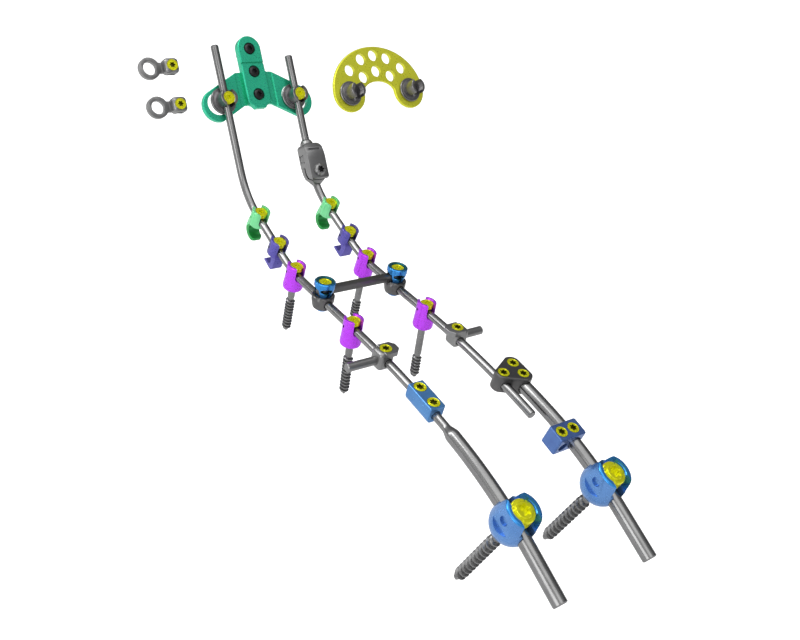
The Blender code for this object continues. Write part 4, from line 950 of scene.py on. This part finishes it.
for site, y in e["sites"]:
    place = onPlate(e["x"], y)
    put(copyOf(body), "eyelet_" + site, place, bodySteel, ("eyelet_connector_" + site,))
    blockPlug("eyeletPlug_" + site, place, e["plug"], e["reach"])
drop(body)
print("loose pieces done")


# studio: pale floor, graded sky, white behind for the camera, three softboxes
studio = {
    "floorDrop": 0.02, "floorSize": 6.0, "floorColour": (0.86, 0.86, 0.86), "floorRoughness": 0.9, "floorGlow": 0.55,
    "skyAim": (-0.78, -0.25, 0.57), "aim": (0.0, -0.1, 0.0),
    "sky": ((0.25, (0.13, 0.13, 0.135, 1)), (0.85, (0.8, 0.8, 0.8, 1)), (0.55, (0.36, 0.36, 0.37, 1))),
    "lamps": (("streak", (-0.62, 0.36, 0.74), 0.3, 0.95, 4.5), ("overhead", (-0.1, -0.2, 1.0), 1.2, 1.2, 5.0),
              ("fromLeft", (-1.0, -0.5, 0.25), 0.7, 0.7, 3.5)),
}
low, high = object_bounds()
bm = bmesh.new()
bmesh.ops.create_grid(bm, x_segments=4, y_segments=4, size=studio["floorSize"] / 2)
floor = toObject(bm, "studioFloor")
floor.location.z = low[2] - studio["floorDrop"]
floorMaterial = bpy.data.materials.new("studioFloor")
floorMaterial.use_nodes = True
nodes, links = floorMaterial.node_tree.nodes, floorMaterial.node_tree.links
shader = nodes["Principled BSDF"]
shader.inputs["Base Color"].default_value = (*studio["floorColour"], 1)
shader.inputs["Roughness"].default_value = studio["floorRoughness"]
glow = nodes.new("ShaderNodeEmission")
glow.inputs["Strength"].default_value = studio["floorGlow"]
path = nodes.new("ShaderNodeLightPath")
add = nodes.new("ShaderNodeAddShader")
mixFloor = nodes.new("ShaderNodeMixShader")
links.new(shader.outputs["BSDF"], add.inputs[0])
links.new(glow.outputs["Emission"], add.inputs[1])
links.new(path.outputs["Is Camera Ray"], mixFloor.inputs["Fac"])
links.new(shader.outputs["BSDF"], mixFloor.inputs[1])
links.new(add.outputs["Shader"], mixFloor.inputs[2])
links.new(mixFloor.outputs["Shader"], nodes["Material Output"].inputs["Surface"])
floor.data.materials.append(floorMaterial)

world = bpy.data.worlds.new("studioWorld")
scene.world = world
world.use_nodes = True
nodes, links = world.node_tree.nodes, world.node_tree.links
background = nodes["Background"]
coords = nodes.new("ShaderNodeTexCoord")
dot = nodes.new("ShaderNodeVectorMath")
dot.operation = "DOT_PRODUCT"
dot.inputs[1].default_value = studio["skyAim"]
links.new(coords.outputs["Generated"], dot.inputs[0])
spread = nodes.new("ShaderNodeMapRange")
spread.inputs["From Min"].default_value = -1.0
spread.inputs["To Min"].default_value = 0.0
ramp = nodes.new("ShaderNodeValToRGB")
dark, bright, between = studio["sky"]
steps = [(ramp.color_ramp.elements[0], dark), (ramp.color_ramp.elements[1], bright)]
for step, (position, colour) in steps:
    step.position = position
    step.color = colour
ramp.color_ramp.elements.new(between[0]).color = between[1]
links.new(dot.outputs["Value"], spread.inputs["Value"])
links.new(spread.outputs["Result"], ramp.inputs["Fac"])
links.new(ramp.outputs["Color"], background.inputs["Color"])
white = nodes.new("ShaderNodeBackground")
white.inputs["Color"].default_value = (1, 1, 1, 1)
mixWorld = nodes.new("ShaderNodeMixShader")
path = nodes.new("ShaderNodeLightPath")
links.new(path.outputs["Is Camera Ray"], mixWorld.inputs["Fac"])
links.new(background.outputs["Background"], mixWorld.inputs[1])
links.new(white.outputs["Background"], mixWorld.inputs[2])
links.new(mixWorld.outputs["Shader"], nodes["World Output"].inputs["Surface"])

for name, place, size, sizeY, power in studio["lamps"]:
    data = bpy.data.lights.new(name, "AREA")
    data.shape = "RECTANGLE"
    data.size = size
    data.size_y = sizeY
    data.energy = power
    lamp = bpy.data.objects.new(name, data)
    scene.collection.objects.link(lamp)
    aim = Vector(studio["aim"]) - Vector(place)
    lamp.matrix_world = Matrix.Translation(place) @ aim.to_track_quat("-Z", "Y").to_matrix().to_4x4()

scene.view_settings.view_transform = "Standard"
print("studio ready")
